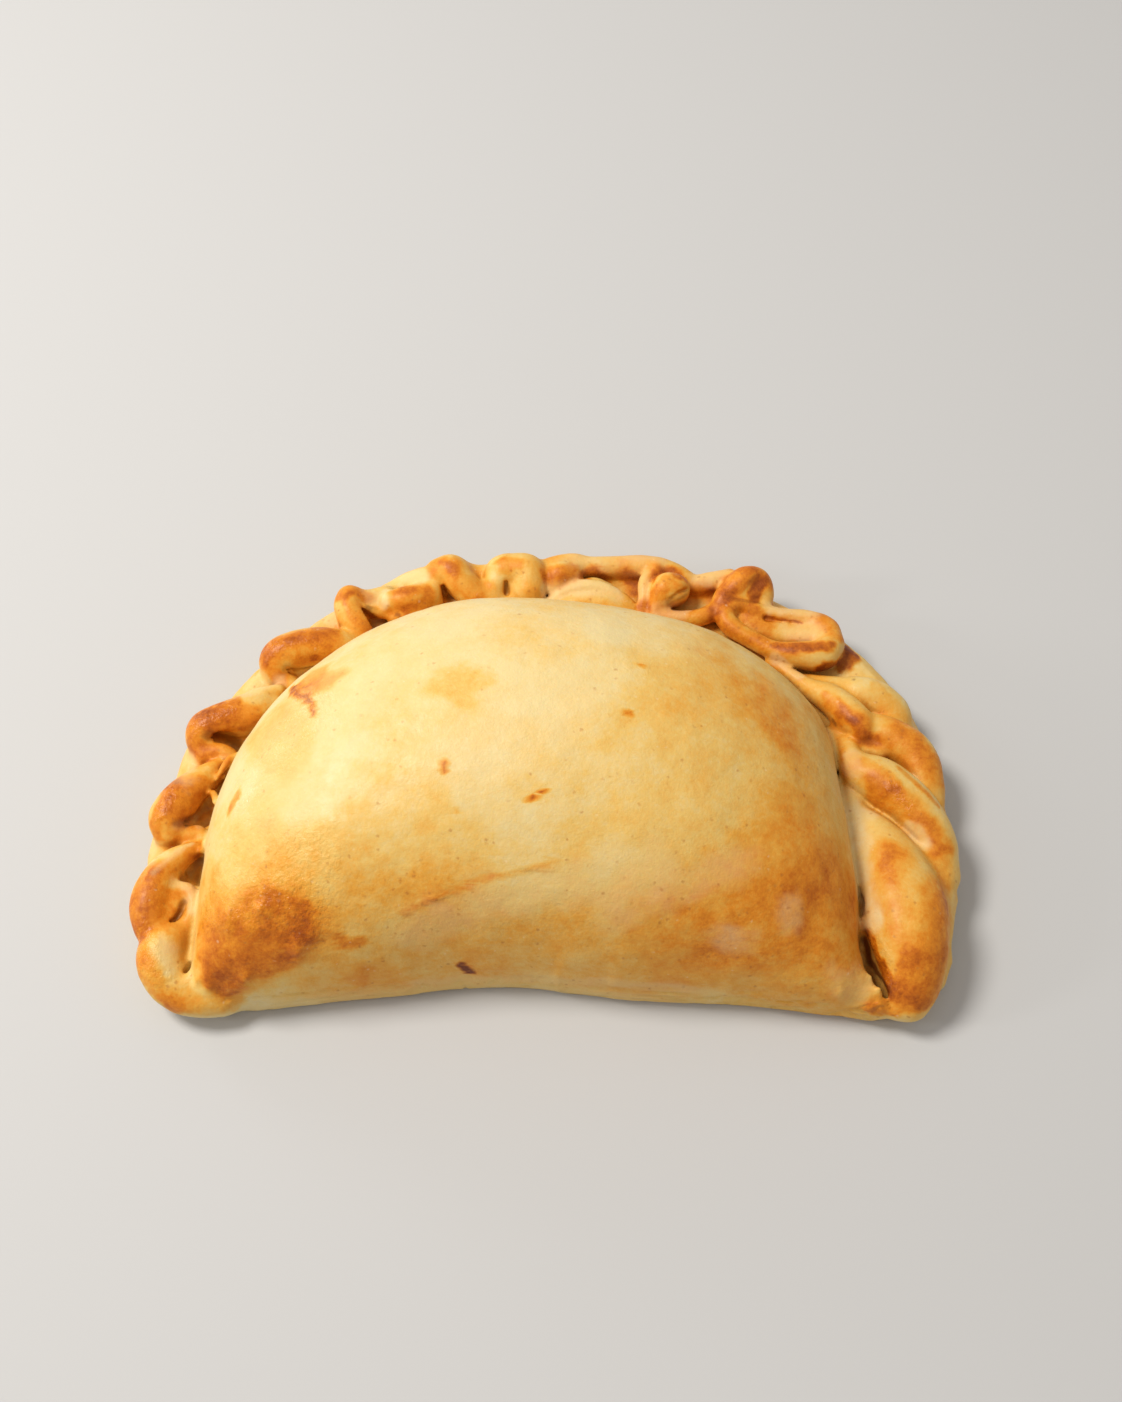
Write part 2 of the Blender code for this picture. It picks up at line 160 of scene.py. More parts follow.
    "right_17_flank": (1.0, 1.0, ((48.4, -7.0, 7.4, 1.8), (49.0, -12.0, 8.0, 2.2), (49.7, -17.0, 8.4, 2.6),
                                  (50.3, -22.0, 8.4, 2.5), (50.5, -27.5, 8.2, 2.6), (51.2, -31.0, 7.6, 2.2))),
    "right_17": (1.1, 0.9, ((50.7, -9.6, 7.6, 2.0), (52.3, -14.0, 8.6, 3.7), (54.1, -19.5, 9.0, 5.3),
                            (55.3, -26.0, 8.8, 6.4), (55.4, -31.5, 8.2, 5.9), (55.7, -36.2, 6.8, 4.5),
                            (55.0, -39.4, 5.0, 3.0))),
    "right_16_foot": (1.0, 2.2, ((60.0, -18.0, 6.8, 3.3), (60.4, -22.5, 6.2, 3.1), (60.0, -27.0, 5.6, 2.6))),
    "corner_right": (1.0, 3.2, ((48.4, -37.6, 3.4, 2.6), (51.4, -38.2, 4.0, 3.1), (54.4, -38.0, 4.2, 3.2))),
    "flake_1": (1.0, 0.4, ((-50.2, 1.2, 9.4, 0.45), (-51.6, 0.0, 10.0, 0.65), (-52.6, -1.8, 10.2, 0.6),
                           (-53.6, -3.8, 9.8, 0.35))),
    "flake_2": (1.0, 0.4, ((-52.6, -2.6, 8.6, 0.4), (-53.8, -3.0, 9.2, 0.45), (-54.4, -4.2, 9.0, 0.3))),
    "flake_3": (1.0, 0.5, ((-54.9, -5.6, 8.6, 0.4), (-53.8, -6.2, 9.4, 0.6), (-53.4, -7.8, 9.6, 0.5))),
    "flake_4": (1.0, 0.5, ((-54.8, -16.1, 8.8, 0.45), (-54.2, -15.0, 9.4, 0.6))),
}
# Places where the dough is hollow: (flatness, softness, nodes)
HOLLOWS = {
    "left_1_slot": (0.35, 0.3, ((-55.3, -36.6, 7.0, 0.25), (-54.8, -35.4, 7.0, 0.45), (-54.6, -34.2, 7.0, 0.25))),
    "left_2_pocket": (0.5, 0.3, ((-57.6, -20.9, 9.0, 0.3), (-56.2, -20.4, 8.0, 0.8), (-55.0, -19.4, 6.8, 1.2),
                                 (-54.6, -17.6, 6.8, 0.8))),
    "left_2_point": (0.5, 0.4, ((-56.2, -24.6, 9.2, 0.2), (-56.8, -26.0, 8.8, 0.4), (-57.6, -27.6, 8.4, 0.4),
                                (-58.8, -28.8, 8.2, 0.25))),
    "left_2_crease": (1.0, 0.2, ((-60.9, -27.2, 9.0, 0.25), (-59.4, -28.2, 8.4, 0.3), (-57.8, -27.4, 8.0, 0.25))),
    "left_3_pocket": (0.5, 0.4, ((-58.8, -11.3, 8.8, 0.25), (-57.4, -10.4, 7.8, 0.6), (-55.8, -9.5, 7.0, 1.1),
                                 (-54.6, -8.4, 6.8, 1.1))),
    "left_4_pocket": (0.5, 0.3, ((-56.2, 4.9, 8.9, 0.5), (-54.8, 4.8, 8.4, 0.9), (-52.6, 4.6, 7.6, 1.1),
                                 (-50.6, 3.8, 7.0, 1.2), (-50.4, 2.4, 7.0, 0.9))),
    "left_5_line": (0.7, 0.3, ((-45.0, 18.0, 8.6, 0.25), (-42.4, 18.0, 7.8, 0.5), (-39.6, 18.6, 7.4, 0.6))),
    "back_6_pocket": (0.5, 0.4, ((-32.6, 29.4, 9.8, 0.35), (-31.0, 28.2, 8.6, 0.9), (-29.4, 27.0, 7.6, 1.2),
                                 (-28.0, 26.8, 7.4, 0.9))),
    "back_8_pocket": (0.5, 0.4, ((-18.9, 35.2, 9.2, 0.3), (-18.0, 33.4, 8.2, 0.7), (-16.6, 31.8, 7.6, 0.8))),
    "back_9_crease": (0.5, 0.4, ((-7.6, 35.2, 10.2, 0.25), (-7.4, 33.4, 9.6, 0.6))),
    "back_11_crease": (1.0, 0.3, ((20.4, 30.6, 10.2, 0.25), (22.2, 31.8, 11.2, 0.35), (23.8, 33.2, 10.6, 0.25))),
    "back_12_face": (1.0, 0.4, ((34.4, 31.8, 11.9, 1.2), (36.0, 33.4, 12.2, 1.5), (37.6, 35.4, 12.4, 1.2))),
    "back_12_foot": (0.8, 0.3, ((30.8, 32.0, 11.2, 0.25), (33.6, 31.6, 10.7, 0.4), (36.4, 31.0, 9.9, 0.4),
                                (38.6, 30.7, 9.4, 0.3))),
    "loop_crease": (0.6, 0.2, ((37.2, 28.3, 8.9, 0.5), (39.4, 27.9, 8.8, 0.3), (43.0, 27.2, 8.7, 0.2))),
    "slit_low": (0.35, 0.4, ((48.7, -29.6, 8.4, 0.3), (48.8, -32.4, 6.8, 0.9), (49.3, -35.4, 5.8, 1.25),
                             (50.4, -38.2, 5.2, 1.15), (51.9, -40.7, 5.2, 0.4))),
    "slit_high": (0.4, 0.3, ((48.3, -22.8, 9.5, 0.25), (48.4, -25.4, 9.0, 0.6), (48.2, -27.4, 9.0, 0.3))),
}


# The colours of the crust, from raw to scorched, as (browning, colour)
CRUST_RAMP = ((0.0, (0.73, 0.575, 0.275)), (0.2, (0.73, 0.47, 0.130)), (0.4, (0.72, 0.345, 0.048)),
              (0.6, (0.67, 0.230, 0.014)), (0.8, (0.50, 0.130, 0.005)), (1.0, (0.30, 0.062, 0.003)))
PALE_DOUGH = (0.75, 0.595, 0.31)
# near-black colour: dark glaze, and painted shade in the pockets and creases of the crimp
DARK_GLAZE_AND_SHADE_COLOUR = (0.13, 0.024, 0.003)

# Marks of the baking, with shade painted into pockets, creases and slits by the toast and dark kinds: (kind, strength,
# half width, softness of the edge, places along it)
TOAST_AND_SHADE, PALE, DARK_GLAZE_AND_SHADE, GLOSS = range(4)
MARKS = (
    (TOAST_AND_SHADE, 0.74, 3, 5.4, ((-48.1, -36.3, 13.2), (-43.4, -34.6, 16.5), (-39, -33.2, 18.4),)),
    (TOAST_AND_SHADE, 0.55, 0.9, 1.6, ((-49.9, -36.6, 12), (-49.8, -38.3, 9.8), (-48.8, -39.1, 8.3),)),
    (TOAST_AND_SHADE, 0.14, 4, 7, ((-46, -31.9, 18), (-38.8, -31.1, 20.6),)),
    (TOAST_AND_SHADE, 0.36, 2, 5, ((-50.9, -27, 15.7), (-48.4, -32.9, 15.9), (-48.3, -37.2, 12),)),
    (TOAST_AND_SHADE, 0.75, 0.9, 1.8, ((-40.1, -30.3, 21), (-36.3, -31.7, 20.6), (-35.2, -34, 18.3),)),
    (TOAST_AND_SHADE, 0.55, 0.7, 1.2, ((-37, -33.9, 18.1), (-39.1, -35.9, 15.2),)),
    (TOAST_AND_SHADE, 0.45, 0.6, 1.2, ((-36, -32.9, 19.3), (-35.7, -34.6, 17.7),)),
    (TOAST_AND_SHADE, 0.4, 0.8, 1.4, ((-38.6, -36.6, 14.1), (-41.3, -37.4, 12.5),)),
    (TOAST_AND_SHADE, 0.4, 1, 2.2, ((-50.1, -37.7, 10.7), (-48, -39, 9),)),
    (TOAST_AND_SHADE, 0.7, 0.5, 0.6, ((-48.4, -14.7, 20.1), (-47.2, -12.8, 21.3),)),
    (TOAST_AND_SHADE, 0.78, 0.4, 0.6, ((-40.9, 6.5, 20.6), (-39, 2.8, 24.5), (-37.6, 1.7, 25.9),)),
    (TOAST_AND_SHADE, 0.85, 0.35, 0.5, ((-37.1, 0.8, 26.5), (-36, -1, 27.6), (-35.4, -2.8, 28.3),)),
    (TOAST_AND_SHADE, 0.4, 0.9, 1.6, ((-39.7, 5.6, 22.8), (-37.1, 2.7, 25.8),)),
    (GLOSS, 0.9, 1, 1.6, ((-39.7, 4.4, 23.6), (-36, -1.6, 27.8),)),
    (TOAST_AND_SHADE, 0.45, 1.2, 2.8, ((-37.2, 6.5, 23.9), (-34.4, 3.9, 26.8),)),
    (TOAST_AND_SHADE, 0.28, 3, 5, ((-43, -2.3, 23.3), (-39.5, -7.1, 26.8),)),
    (TOAST_AND_SHADE, 0.28, 1.6, 2.6, ((-16.3, -1.3, 33.8), (-11.8, -0.7, 34.3),)),
    (TOAST_AND_SHADE, 0.85, 0.2, 0.25, ((-15.2, -13.2, 33.2), (-14.9, -14.2, 33.2), (-15, -15, 32.8),)),
    (TOAST_AND_SHADE, 0.9, 0.2, 0.25, ((-2.2, -19.2, 32), (-1.6, -18.5, 32.3), (-0.3, -18.2, 32.5),)),
    (TOAST_AND_SHADE, 0.6, 0.2, 0.3, ((-13, -20.2, 31), (-12.7, -20.5, 30.9),)),
    (TOAST_AND_SHADE, 0.65, 0.25, 0.35, ((11.2, -6.1, 34.4), (12.5, -5.8, 34.2),)),
    (TOAST_AND_SHADE, 0.65, 0.22, 0.3, ((13.6, 3.5, 32.8), (14.5, 3.2, 32.8),)),
    (TOAST_AND_SHADE, 0.7, 0.6, 0.9, ((-30.4, -34.6, 16.7), (-29, -34.9, 16.1), (-27.6, -34.7, 16.4),)),
    (DARK_GLAZE_AND_SHADE, 1, 0.6, 0.4, ((-13, -35.5, 8.7), (-12.5, -35.7, 7.5), (-11.9, -35.7, 7),)),
    (TOAST_AND_SHADE, 0.8, 0.6, 0.6, ((-13, -35.5, 8.9), (-12, -35.7, 7),)),
    (TOAST_AND_SHADE, 0.46, 0.15, 0.6, ((-20.8, -32.1, 20.2), (-14.9, -30.1, 23.3), (-9.2, -28.6, 25), (-4.5, -27.9, 25.9), (2, -26.7, 27.3),)),
    (TOAST_AND_SHADE, 0.14, 1.5, 5, ((-22.6, -31.1, 21.5), (-14.7, -28.5, 24.9), (-7.2, -26.6, 27), (2, -25.4, 28.3),)),
    (PALE, 0.35, 1.5, 4, ((-19.2, -33.5, 17.2), (-9.3, -30.8, 22.1), (2, -29.3, 24.8), (14.9, -27.7, 26.5),)),
    (PALE, 0.35, 1.2, 3, ((9.6, -32.4, 21.4), (22.4, -28.5, 25.1), (28, -26.7, 25.4),)),
    (TOAST_AND_SHADE, 0.4, 1.6, 7, ((33.9, 0.9, 25.8), (35.8, -3.6, 25.5),)),
    (TOAST_AND_SHADE, 0.2, 0.8, 3.6, ((35, -0.8, 25.4), (36, -4, 25.4),)),
    (TOAST_AND_SHADE, 0.12, 8, 14, ((25.5, -8.7, 31.1), (35.4, -16.7, 25.7),)),
    (TOAST_AND_SHADE, 0.36, 6, 10, ((23, -33.6, 19.8), (32.4, -32, 20.5), (41.4, -30, 18.1),)),
    (TOAST_AND_SHADE, 0.12, 4, 7, ((43, -34.4, 14.7), (40.3, -30.2, 18.5),)),
    (TOAST_AND_SHADE, 0.08, 3, 7, ((42.2, -26.5, 18.8), (39.5, -13.4, 23),)),
    (TOAST_AND_SHADE, 0.14, 4, 9, ((-31.5, -27.4, 24.8), (-43.1, -24.5, 22.6),)),
    (TOAST_AND_SHADE, 0.16, 8, 10, ((-25.5, -35.7, 13.2), (-5.9, -34.7, 13.2), (13.7, -36.2, 14.4),)),
    (PALE, 0.55, 0.8, 2.6, ((26, -34.8, 18), (27.9, -35.3, 17.1),)),
    (PALE, 0.55, 0.7, 2.4, ((35.2, -31.1, 20.6), (35.5, -33.1, 18.7),)),
    (PALE, 0.38, 3.5, 9, ((-41.6, -13, 25.7), (-36.5, -5.2, 28.2), (-28.9, 3.1, 29.7), (-17.9, 9.8, 30.5),)),
    (PALE, 0.3, 2, 6, ((-14.1, -11.9, 33.6), (-5.1, -10.6, 34.5), (3.8, -3.7, 34.8),)),
    (PALE, 0.45, 0.6, 1.6, ((-20.4, -36.9, 4.6), (-5.1, -35.9, 4.8), (10.1, -37.6, 7), (25.3, -38.6, 5.8),)),
    (PALE, 0.25, 3, 6, ((3.8, 14, 29.6), (18.4, 11, 28.7),)),
    (PALE, 0.3, 1, 3, ((43.7, -38.6, 10.5), (47.2, -39.2, 8),)),
    (TOAST_AND_SHADE, 0.62, 1.1, 2, ((-61.1, -35.1, 9.3), (-59.8, -37.8, 8.4), (-57.2, -40.2, 6.8),)),
    (TOAST_AND_SHADE, 0.45, 0.6, 0.9, ((-58.3, -39.5, 7.2), (-56.3, -40.9, 6.1),)),
    (PALE, 0.5, 1.5, 2, ((-57.6, -33.3, 9.7),)),
    (TOAST_AND_SHADE, 0.35, 0.8, 1.6, ((-62.2, -32, 8.9), (-61.8, -34.5, 9),)),
    (TOAST_AND_SHADE, 0.45, 1, 2, ((-56.6, -40.4, 6.7), (-52.3, -41, 6.2), (-47.8, -40.2, 5.4),)),
    (TOAST_AND_SHADE, 0.6, 1.3, 1.8, ((-60.4, -20.2, 11.1), (-62.4, -24, 11.2), (-63.1, -27.6, 10.3), (-62.4, -30.1, 9.2),)),
    (TOAST_AND_SHADE, 0.75, 0.45, 0.5, ((-61.5, -22, 11.3), (-61, -20.8, 11.2), (-59.8, -20.5, 10.9),)),
    (TOAST_AND_SHADE, 0.38, 1.8, 1.6, ((-59.3, -24.9, 9.9), (-59.6, -28.3, 9.7),)),
    (DARK_GLAZE_AND_SHADE, 0.65, 0.25, 0.6, ((-56.6, -24.8, 8.2), (-57.6, -27, 7.5),)),
    (PALE, 0.75, 0.25, 0.5, ((-56.5, -14.9, 8.7), (-58.6, -17.7, 10.4), (-61, -21.2, 11.2),)),
    (TOAST_AND_SHADE, 0.48, 1, 1.2, ((-59.5, -20.8, 10.8), (-57, -17.9, 9.6), (-55.5, -15.8, 8.6),)),
    (PALE, 0.5, 0.8, 1, ((-57.1, -21.7, 8.8), (-55.3, -22.2, 8.4), (-54.7, -25.8, 8.5),)),
    (DARK_GLAZE_AND_SHADE, 0.55, 0.6, 0.8, ((-57.2, -20.1, 7.6), (-55.8, -18.8, 5.1), (-55.1, -16.9, 5.9),)),
    (TOAST_AND_SHADE, 0.68, 1, 1.3, ((-59.9, -5.7, 11.1), (-61.4, -10.2, 11.3), (-62, -13.6, 8.9),)),
    (TOAST_AND_SHADE, 0.52, 1.8, 1.8, ((-57, -6, 10.9), (-58.5, -9.9, 10.7),)),
    (DARK_GLAZE_AND_SHADE, 0.6, 0.5, 0.8, ((-58.4, -11.5, 9.7), (-57.2, -9, 6.6), (-55.4, -7.3, 5.8),)),
    (TOAST_AND_SHADE, 0.35, 1.2, 1.2, ((-58.3, -12.6, 8.7), (-56.8, -12, 8.1),)),
    (PALE, 0.45, 0.4, 0.8, ((-58.5, -12, 9.4), (-57.3, -9.5, 6.2), (-55.7, -11.3, 7.7),)),
    (TOAST_AND_SHADE, 0.62, 1.3, 1.6, ((-58.6, 6.1, 10.5), (-55.6, 7.4, 11.4), (-52.2, 8.9, 11.5),)),
    (TOAST_AND_SHADE, 0.5, 1.6, 1.6, ((-55, 5.9, 11.2), (-49.6, 7.3, 10.8),)),
    (TOAST_AND_SHADE, 0.5, 0.9, 1.2, ((-58.6, 3.8, 9.6), (-57.2, 2.4, 8.8), (-55.9, 1.6, 8.7),)),
    (PALE, 0.6, 0.8, 1, ((-50.2, 11.9, 10.1), (-45.8, 15.7, 7.9),)),
    (DARK_GLAZE_AND_SHADE, 0.62, 0.5, 0.9, ((-55.9, 4.3, 10.3), (-54.7, 5.7, 7.7), (-51.7, 5.6, 5.9), (-51.9, 4.6, 4.8),)),
    (TOAST_AND_SHADE, 0.6, 1.3, 1.6, ((-47.6, 19.6, 10.6), (-45.5, 21.3, 11.6), (-40.5, 22.9, 11.6), (-36.7, 23.8, 10.8),)),
    (TOAST_AND_SHADE, 0.48, 1.8, 1.8, ((-45.1, 19.3, 11.1), (-37.8, 20.7, 10.4),)),
    (TOAST_AND_SHADE, 0.85, 0.5, 0.5, ((-39.7, 19.5, 9.4),)),
    (TOAST_AND_SHADE, 0.48, 0.7, 1, ((-47.5, 17.6, 9.4), (-45.4, 16, 8),)),
    (DARK_GLAZE_AND_SHADE, 0.3, 0.25, 0.6, ((-44.6, 17.6, 9.1), (-40.7, 19.6, 6.4),)),
    (PALE, 0.5, 1.2, 1.5, ((-59.8, 3.4, 5.8), (-58.8, -3.9, 10.7),)),
    (PALE, 0.5, 0.8, 1.2, ((-63.7, -13.6, 5.2), (-62, -19.1, 10.3),)),
    (PALE, 0.5, 1, 1.5, ((-49.3, 17.3, 6.9), (-49.9, 15.5, 6.9),)),
    (PALE, 0.55, 1.2, 1.5, ((-38.6, 29.2, 6.6), (-37.7, 31.1, 5.9),)),
    (TOAST_AND_SHADE, 0.6, 0.9, 1.5, ((-35.9, 31.8, 11), (-34.2, 32.5, 11.1), (-32.2, 32.4, 10.1),)),
    (TOAST_AND_SHADE, 0.55, 0.3, 0.5, ((-35.2, 29.5, 11.2), (-35, 31, 11.3), (-34.2, 31.6, 11.2),)),
    (TOAST_AND_SHADE, 0.35, 1, 1.6, ((-33.3, 28.6, 11), (-31.6, 26.5, 10),)),
    (PALE, 0.45, 1, 1.4, ((-31.1, 32.3, 9.7), (-29.5, 32.3, 9.4),)),
    (DARK_GLAZE_AND_SHADE, 0.65, 0.6, 1, ((-31.2, 29.2, 9.2), (-30.2, 29.1, 5.9), (-28.8, 29.4, 6),)),
    (PALE, 0.75, 0.5, 0.6, ((-28.5, 33.3, 9.5), (-28.5, 30.2, 9.6),)),
    (TOAST_AND_SHADE, 0.62, 0.5, 1.7, ((-26.4, 32.1, 10.9), (-23.8, 32.4, 11.1), (-21.2, 32.5, 10.6),)),
    (TOAST_AND_SHADE, 0.3, 1, 2, ((-25.4, 30.5, 10.8), (-21.7, 31.3, 10.3),)),
    (TOAST_AND_SHADE, 0.5, 0.8, 1, ((-24, 29.5, 9.4), (-21, 30.8, 9.3),)),
    (DARK_GLAZE_AND_SHADE, 0.62, 0.2, 0.35, ((-26.3, 28.9, 8.8), (-26, 28.8, 8.7),)),
    (PALE, 0.65, 1, 1.4, ((-25.7, 36.6, 8.5), (-22.5, 36.3, 9.8),)),
    (TOAST_AND_SHADE, 0.5, 1.1, 2, ((-19.8, 37.8, 11.4), (-16.7, 37, 12.3),)),
    (TOAST_AND_SHADE, 0.7, 0.4, 0.9, ((-18.7, 37.8, 11.9), (-17.1, 36.3, 12.1), (-16.6, 35.2, 11.8),)),
    (TOAST_AND_SHADE, 0.4, 1.2, 1.8, ((-16.4, 34.1, 11.1), (-12.5, 33.4, 10.4),)),
    (DARK_GLAZE_AND_SHADE, 0.62, 0.5, 0.8, ((-18.5, 34.7, 7.7), (-17.4, 34.4, 6.1),)),
    (TOAST_AND_SHADE, 0.2, 1.5, 1.6, ((-13.2, 37.5, 9.7),)),
    (TOAST_AND_SHADE, 0.62, 0.7, 1.4, ((-8.1, 37, 12), (-6.3, 36.9, 12.2),)),
    (TOAST_AND_SHADE, 0.25, 1.5, 2.5, ((-3.9, 35.8, 12), (-2.9, 34.3, 11.4),)),
    (DARK_GLAZE_AND_SHADE, 0.55, 0.3, 0.7, ((-7.4, 34.7, 9.1), (-7.2, 33.7, 8.3),)),
    (TOAST_AND_SHADE, 0.7, 1.2, 1.3, ((0.6, 36.2, 10.9), (3.4, 37.1, 11),)),
    (TOAST_AND_SHADE, 0.52, 0.8, 1.2, ((0.2, 35.3, 10.2), (2.6, 35.2, 10.3),)),
    (PALE, 0.45, 1.5, 2.5, ((5, 40.2, 10.1), (18, 40.6, 9.6),)),
    (PALE, 0.65, 1.4, 1.4, ((-0, 33.6, 8.4), (5, 34.3, 10), (11, 33.5, 9.7),)),
    (TOAST_AND_SHADE, 0.85, 0.6, 0.7, ((5.4, 36.5, 9.5), (7.8, 37.6, 8.7), (10.5, 37.5, 7.2),)),
    (TOAST_AND_SHADE, 0.75, 0.8, 1, ((13.4, 37.7, 8.5), (14.7, 36.9, 6.6), (15, 35.6, 6.2),)),
    (TOAST_AND_SHADE, 0.35, 1.4, 2, ((11.2, 38.2, 9.2),)),
    (TOAST_AND_SHADE, 0.85, 0.8, 1.2, ((18.5, 36.2, 9.8), (21, 37.2, 9.5), (23, 35.4, 11),)),
    (TOAST_AND_SHADE, 0.52, 1.8, 1.6, ((20.2, 32.6, 11.8), (18.1, 31.3, 9.9),)),
    (TOAST_AND_SHADE, 0.5, 0.6, 0.9, ((16.5, 30.2, 8.2), (15.9, 31.3, 8.6),)),
    (PALE, 0.5, 0.7, 0.9, ((16, 32.9, 9.1), (16.3, 36.6, 9.6),)),
    (DARK_GLAZE_AND_SHADE, 0.4, 0.2, 0.5, ((20.6, 30.7, 9.3), (22.1, 31.2, 10.1), (23.5, 32.2, 10.4),)),
    (TOAST_AND_SHADE, 0.3, 1.5, 1.6, ((26.3, 34.3, 7.9),)),
    (PALE, 0.5, 1.2, 1.6, ((26, 36.5, 9.1), (29.9, 36.8, 9.5),)),
    (TOAST_AND_SHADE, 0.66, 1.3, 1.6, ((30.8, 33.3, 10.9), (32.6, 34.6, 11.7), (35.6, 35.8, 11.8), (38.1, 35.1, 10.3),)),
    (TOAST_AND_SHADE, 0.95, 0.9, 0.6, ((37.1, 34.9, 10.6), (36.4, 33.3, 10.2), (35.1, 31.9, 10),)),
    (DARK_GLAZE_AND_SHADE, 0.36, 0.7, 0.6, ((37, 34.5, 10.5), (35.4, 32.3, 10.1),)),
    (TOAST_AND_SHADE, 0.52, 0.8, 1, ((29.9, 30.8, 10.2), (31.4, 32, 10.5),)),
    (TOAST_AND_SHADE, 0.3, 1, 1.2, ((20, 29.8, 8.7), (28, 28.5, 9.1),)),
    (PALE, 0.45, 0.8, 1, ((18.8, 29.7, 8.8), (23, 29.1, 8.9),)),
    (PALE, 0.5, 0.6, 0.9, ((38.2, 19.7, 8.8), (42, 16.2, 9),)),
    (DARK_GLAZE_AND_SHADE, 0.45, 0.2, 0.4, ((31, 31, 10.4), (33.5, 30.9, 10), (36, 31, 9.3),)),
    (TOAST_AND_SHADE, 0.45, 0.8, 1, ((28.5, 29.5, 9.7), (29.9, 30.8, 10.2),)),
    (TOAST_AND_SHADE, 0.6, 0.8, 1.2, ((30.8, 29.9, 10.3), (34.3, 30.8, 9.8),)),
    (TOAST_AND_SHADE, 0.36, 1, 1.2, ((28.9, 28, 9.6), (30.3, 25.9, 9.7), (35.9, 22.4, 9.9),)),
    (TOAST_AND_SHADE, 0.8, 0.45, 1.1, ((38.4, 21.7, 10.1), (40.7, 20.9, 10.6), (44.2, 21, 11), (47.4, 21.3, 11),)),
    (TOAST_AND_SHADE, 0.6, 0.2, 0.6, ((40.3, 20.4, 10.5), (43.6, 20.3, 11), (46.6, 20.4, 11.1),)),
    (TOAST_AND_SHADE, 0.38, 1.2, 1.6, ((46.9, 28.1, 9.4), (49.2, 24.5, 9.8),)),
    (PALE, 0.55, 0.8, 1.2, ((38, 30.4, 9), (45, 29.1, 9.2),)),
    (TOAST_AND_SHADE, 0.45, 1, 1.6, ((35, 29.1, 9.1), (35.9, 27.9, 8.5), (37.1, 26.8, 8.4),)),
    (TOAST_AND_SHADE, 0.9, 0.5, 0.5, ((37.3, 28.6, 8.1), (38.7, 28.3, 8.1),)),
    (TOAST_AND_SHADE, 0.8, 0.12, 0.2, ((38.7, 28.3, 8.1), (40.6, 27.9, 8.4), (43.3, 27.3, 8.5),)),
    (PALE, 0.4, 1.2, 1.6, ((41.1, 25.7, 8.2), (45, 25.2, 8.9),)),
    (TOAST_AND_SHADE, 1, 0.9, 0.8, ((51.2, 23.3, 6.5), (51.9, 20.8, 6.8), (46.5, 18, 8.4),)),
    (DARK_GLAZE_AND_SHADE, 0.4, 0.9, 0.8, ((51.2, 22.7, 6.7), (51.9, 20.6, 6.8), (46.6, 18.1, 7.9),)),
    (TOAST_AND_SHADE, 0.22, 1.6, 2.2, ((55.1, 11.3, 10.1), (56.9, 9.2, 9.3),)),
    (DARK_GLAZE_AND_SHADE, 0.7, 0.15, 0.25, ((50.8, 14.9, 10),)),
    (TOAST_AND_SHADE, 0.42, 0.9, 1.2, ((45.7, 11.1, 10.6), (48.5, 8, 11.6),)),
    (TOAST_AND_SHADE, 0.82, 0.9, 1.4, ((49.7, 5.5, 11.5), (50.8, 3.8, 10.7),)),
    (TOAST_AND_SHADE, 0.45, 1.2, 1.6, ((48.8, 7.2, 11.7), (51.2, 5.3, 11.9),)),
    # painted shade: the hollow under the knuckle of right_15 drawn brown and dark
    (TOAST_AND_SHADE, 0.85, 0.7, 1, ((53.4, 3.2, 9.8), (51.3, 3.3, 10.2),)),
    (DARK_GLAZE_AND_SHADE, 0.3, 0.4, 0.8, ((52.9, 3.1, 9.6), (51.2, 3.2, 10),)),
    (TOAST_AND_SHADE, 0.6, 1.4, 2.5, ((58.4, 4.7, 11.2), (61.5, 1, 10.7), (62.9, -3.3, 9.5),)),
    (TOAST_AND_SHADE, 0.48, 1.8, 2.2, ((55.5, 3.7, 11.2), (58.7, -0.7, 10.2),)),
    (DARK_GLAZE_AND_SHADE, 0.65, 0.25, 0.5, ((47, 7.3, 9.1), (47.2, 6.8, 9),)),
    (TOAST_AND_SHADE, 0.66, 0.7, 2.3, ((51.7, -5.7, 12.2), (54.2, -7.8, 12.5), (56.8, -10.3, 12.2), (59.7, -13, 11.8), (62, -16.3, 10.4),)),
    (TOAST_AND_SHADE, 0.4, 1.2, 2.4, ((61.9, -17.5, 10.1), (61.5, -20.8, 9.4),)),
    (TOAST_AND_SHADE, 0.4, 1.5, 2, ((50.3, -2.9, 12.4), (52.4, -7.4, 11.6),)),
    (PALE, 0.6, 0.7, 1, ((57.3, -13.3, 10.3), (58.9, -15.2, 10.2),)),
    (TOAST_AND_SHADE, 0.55, 0.3, 0.6, ((56.1, -3.6, 12.7), (59.1, -6.8, 12.5), (61.8, -9.7, 11.4),)),
    (PALE, 0.4, 0.8, 1.2, ((48.7, -0.3, 11.4), (48.7, -3.3, 11.4),)),
    (PALE, 0.35, 0.8, 1.2, ((48, -5.9, 8.9), (48.3, -9.1, 9.3),)),
    (TOAST_AND_SHADE, 0.45, 0.6, 4, ((52.7, -18, 13.1), (52.9, -24.2, 13.8), (53.9, -32.7, 12.9), (54.4, -38.4, 9.9),)),
    (TOAST_AND_SHADE, 0.35, 0.3, 1.2, ((52.1, -19.5, 13.1), (52.7, -23.7, 13.7),)),
    (TOAST_AND_SHADE, 0.35, 0.5, 1.6, ((52.9, -34.2, 12), (54.7, -35.6, 11.8),)),
    (TOAST_AND_SHADE, 0.62, 0.9, 1.6, ((53.9, -35.2, 11.9), (53.6, -39, 9.1),)),
    (PALE, 0.9, 1.1, 1.8, ((49.1, -10.3, 9.6), (48.9, -21.1, 10.4), (49.5, -28.7, 10.6),)),
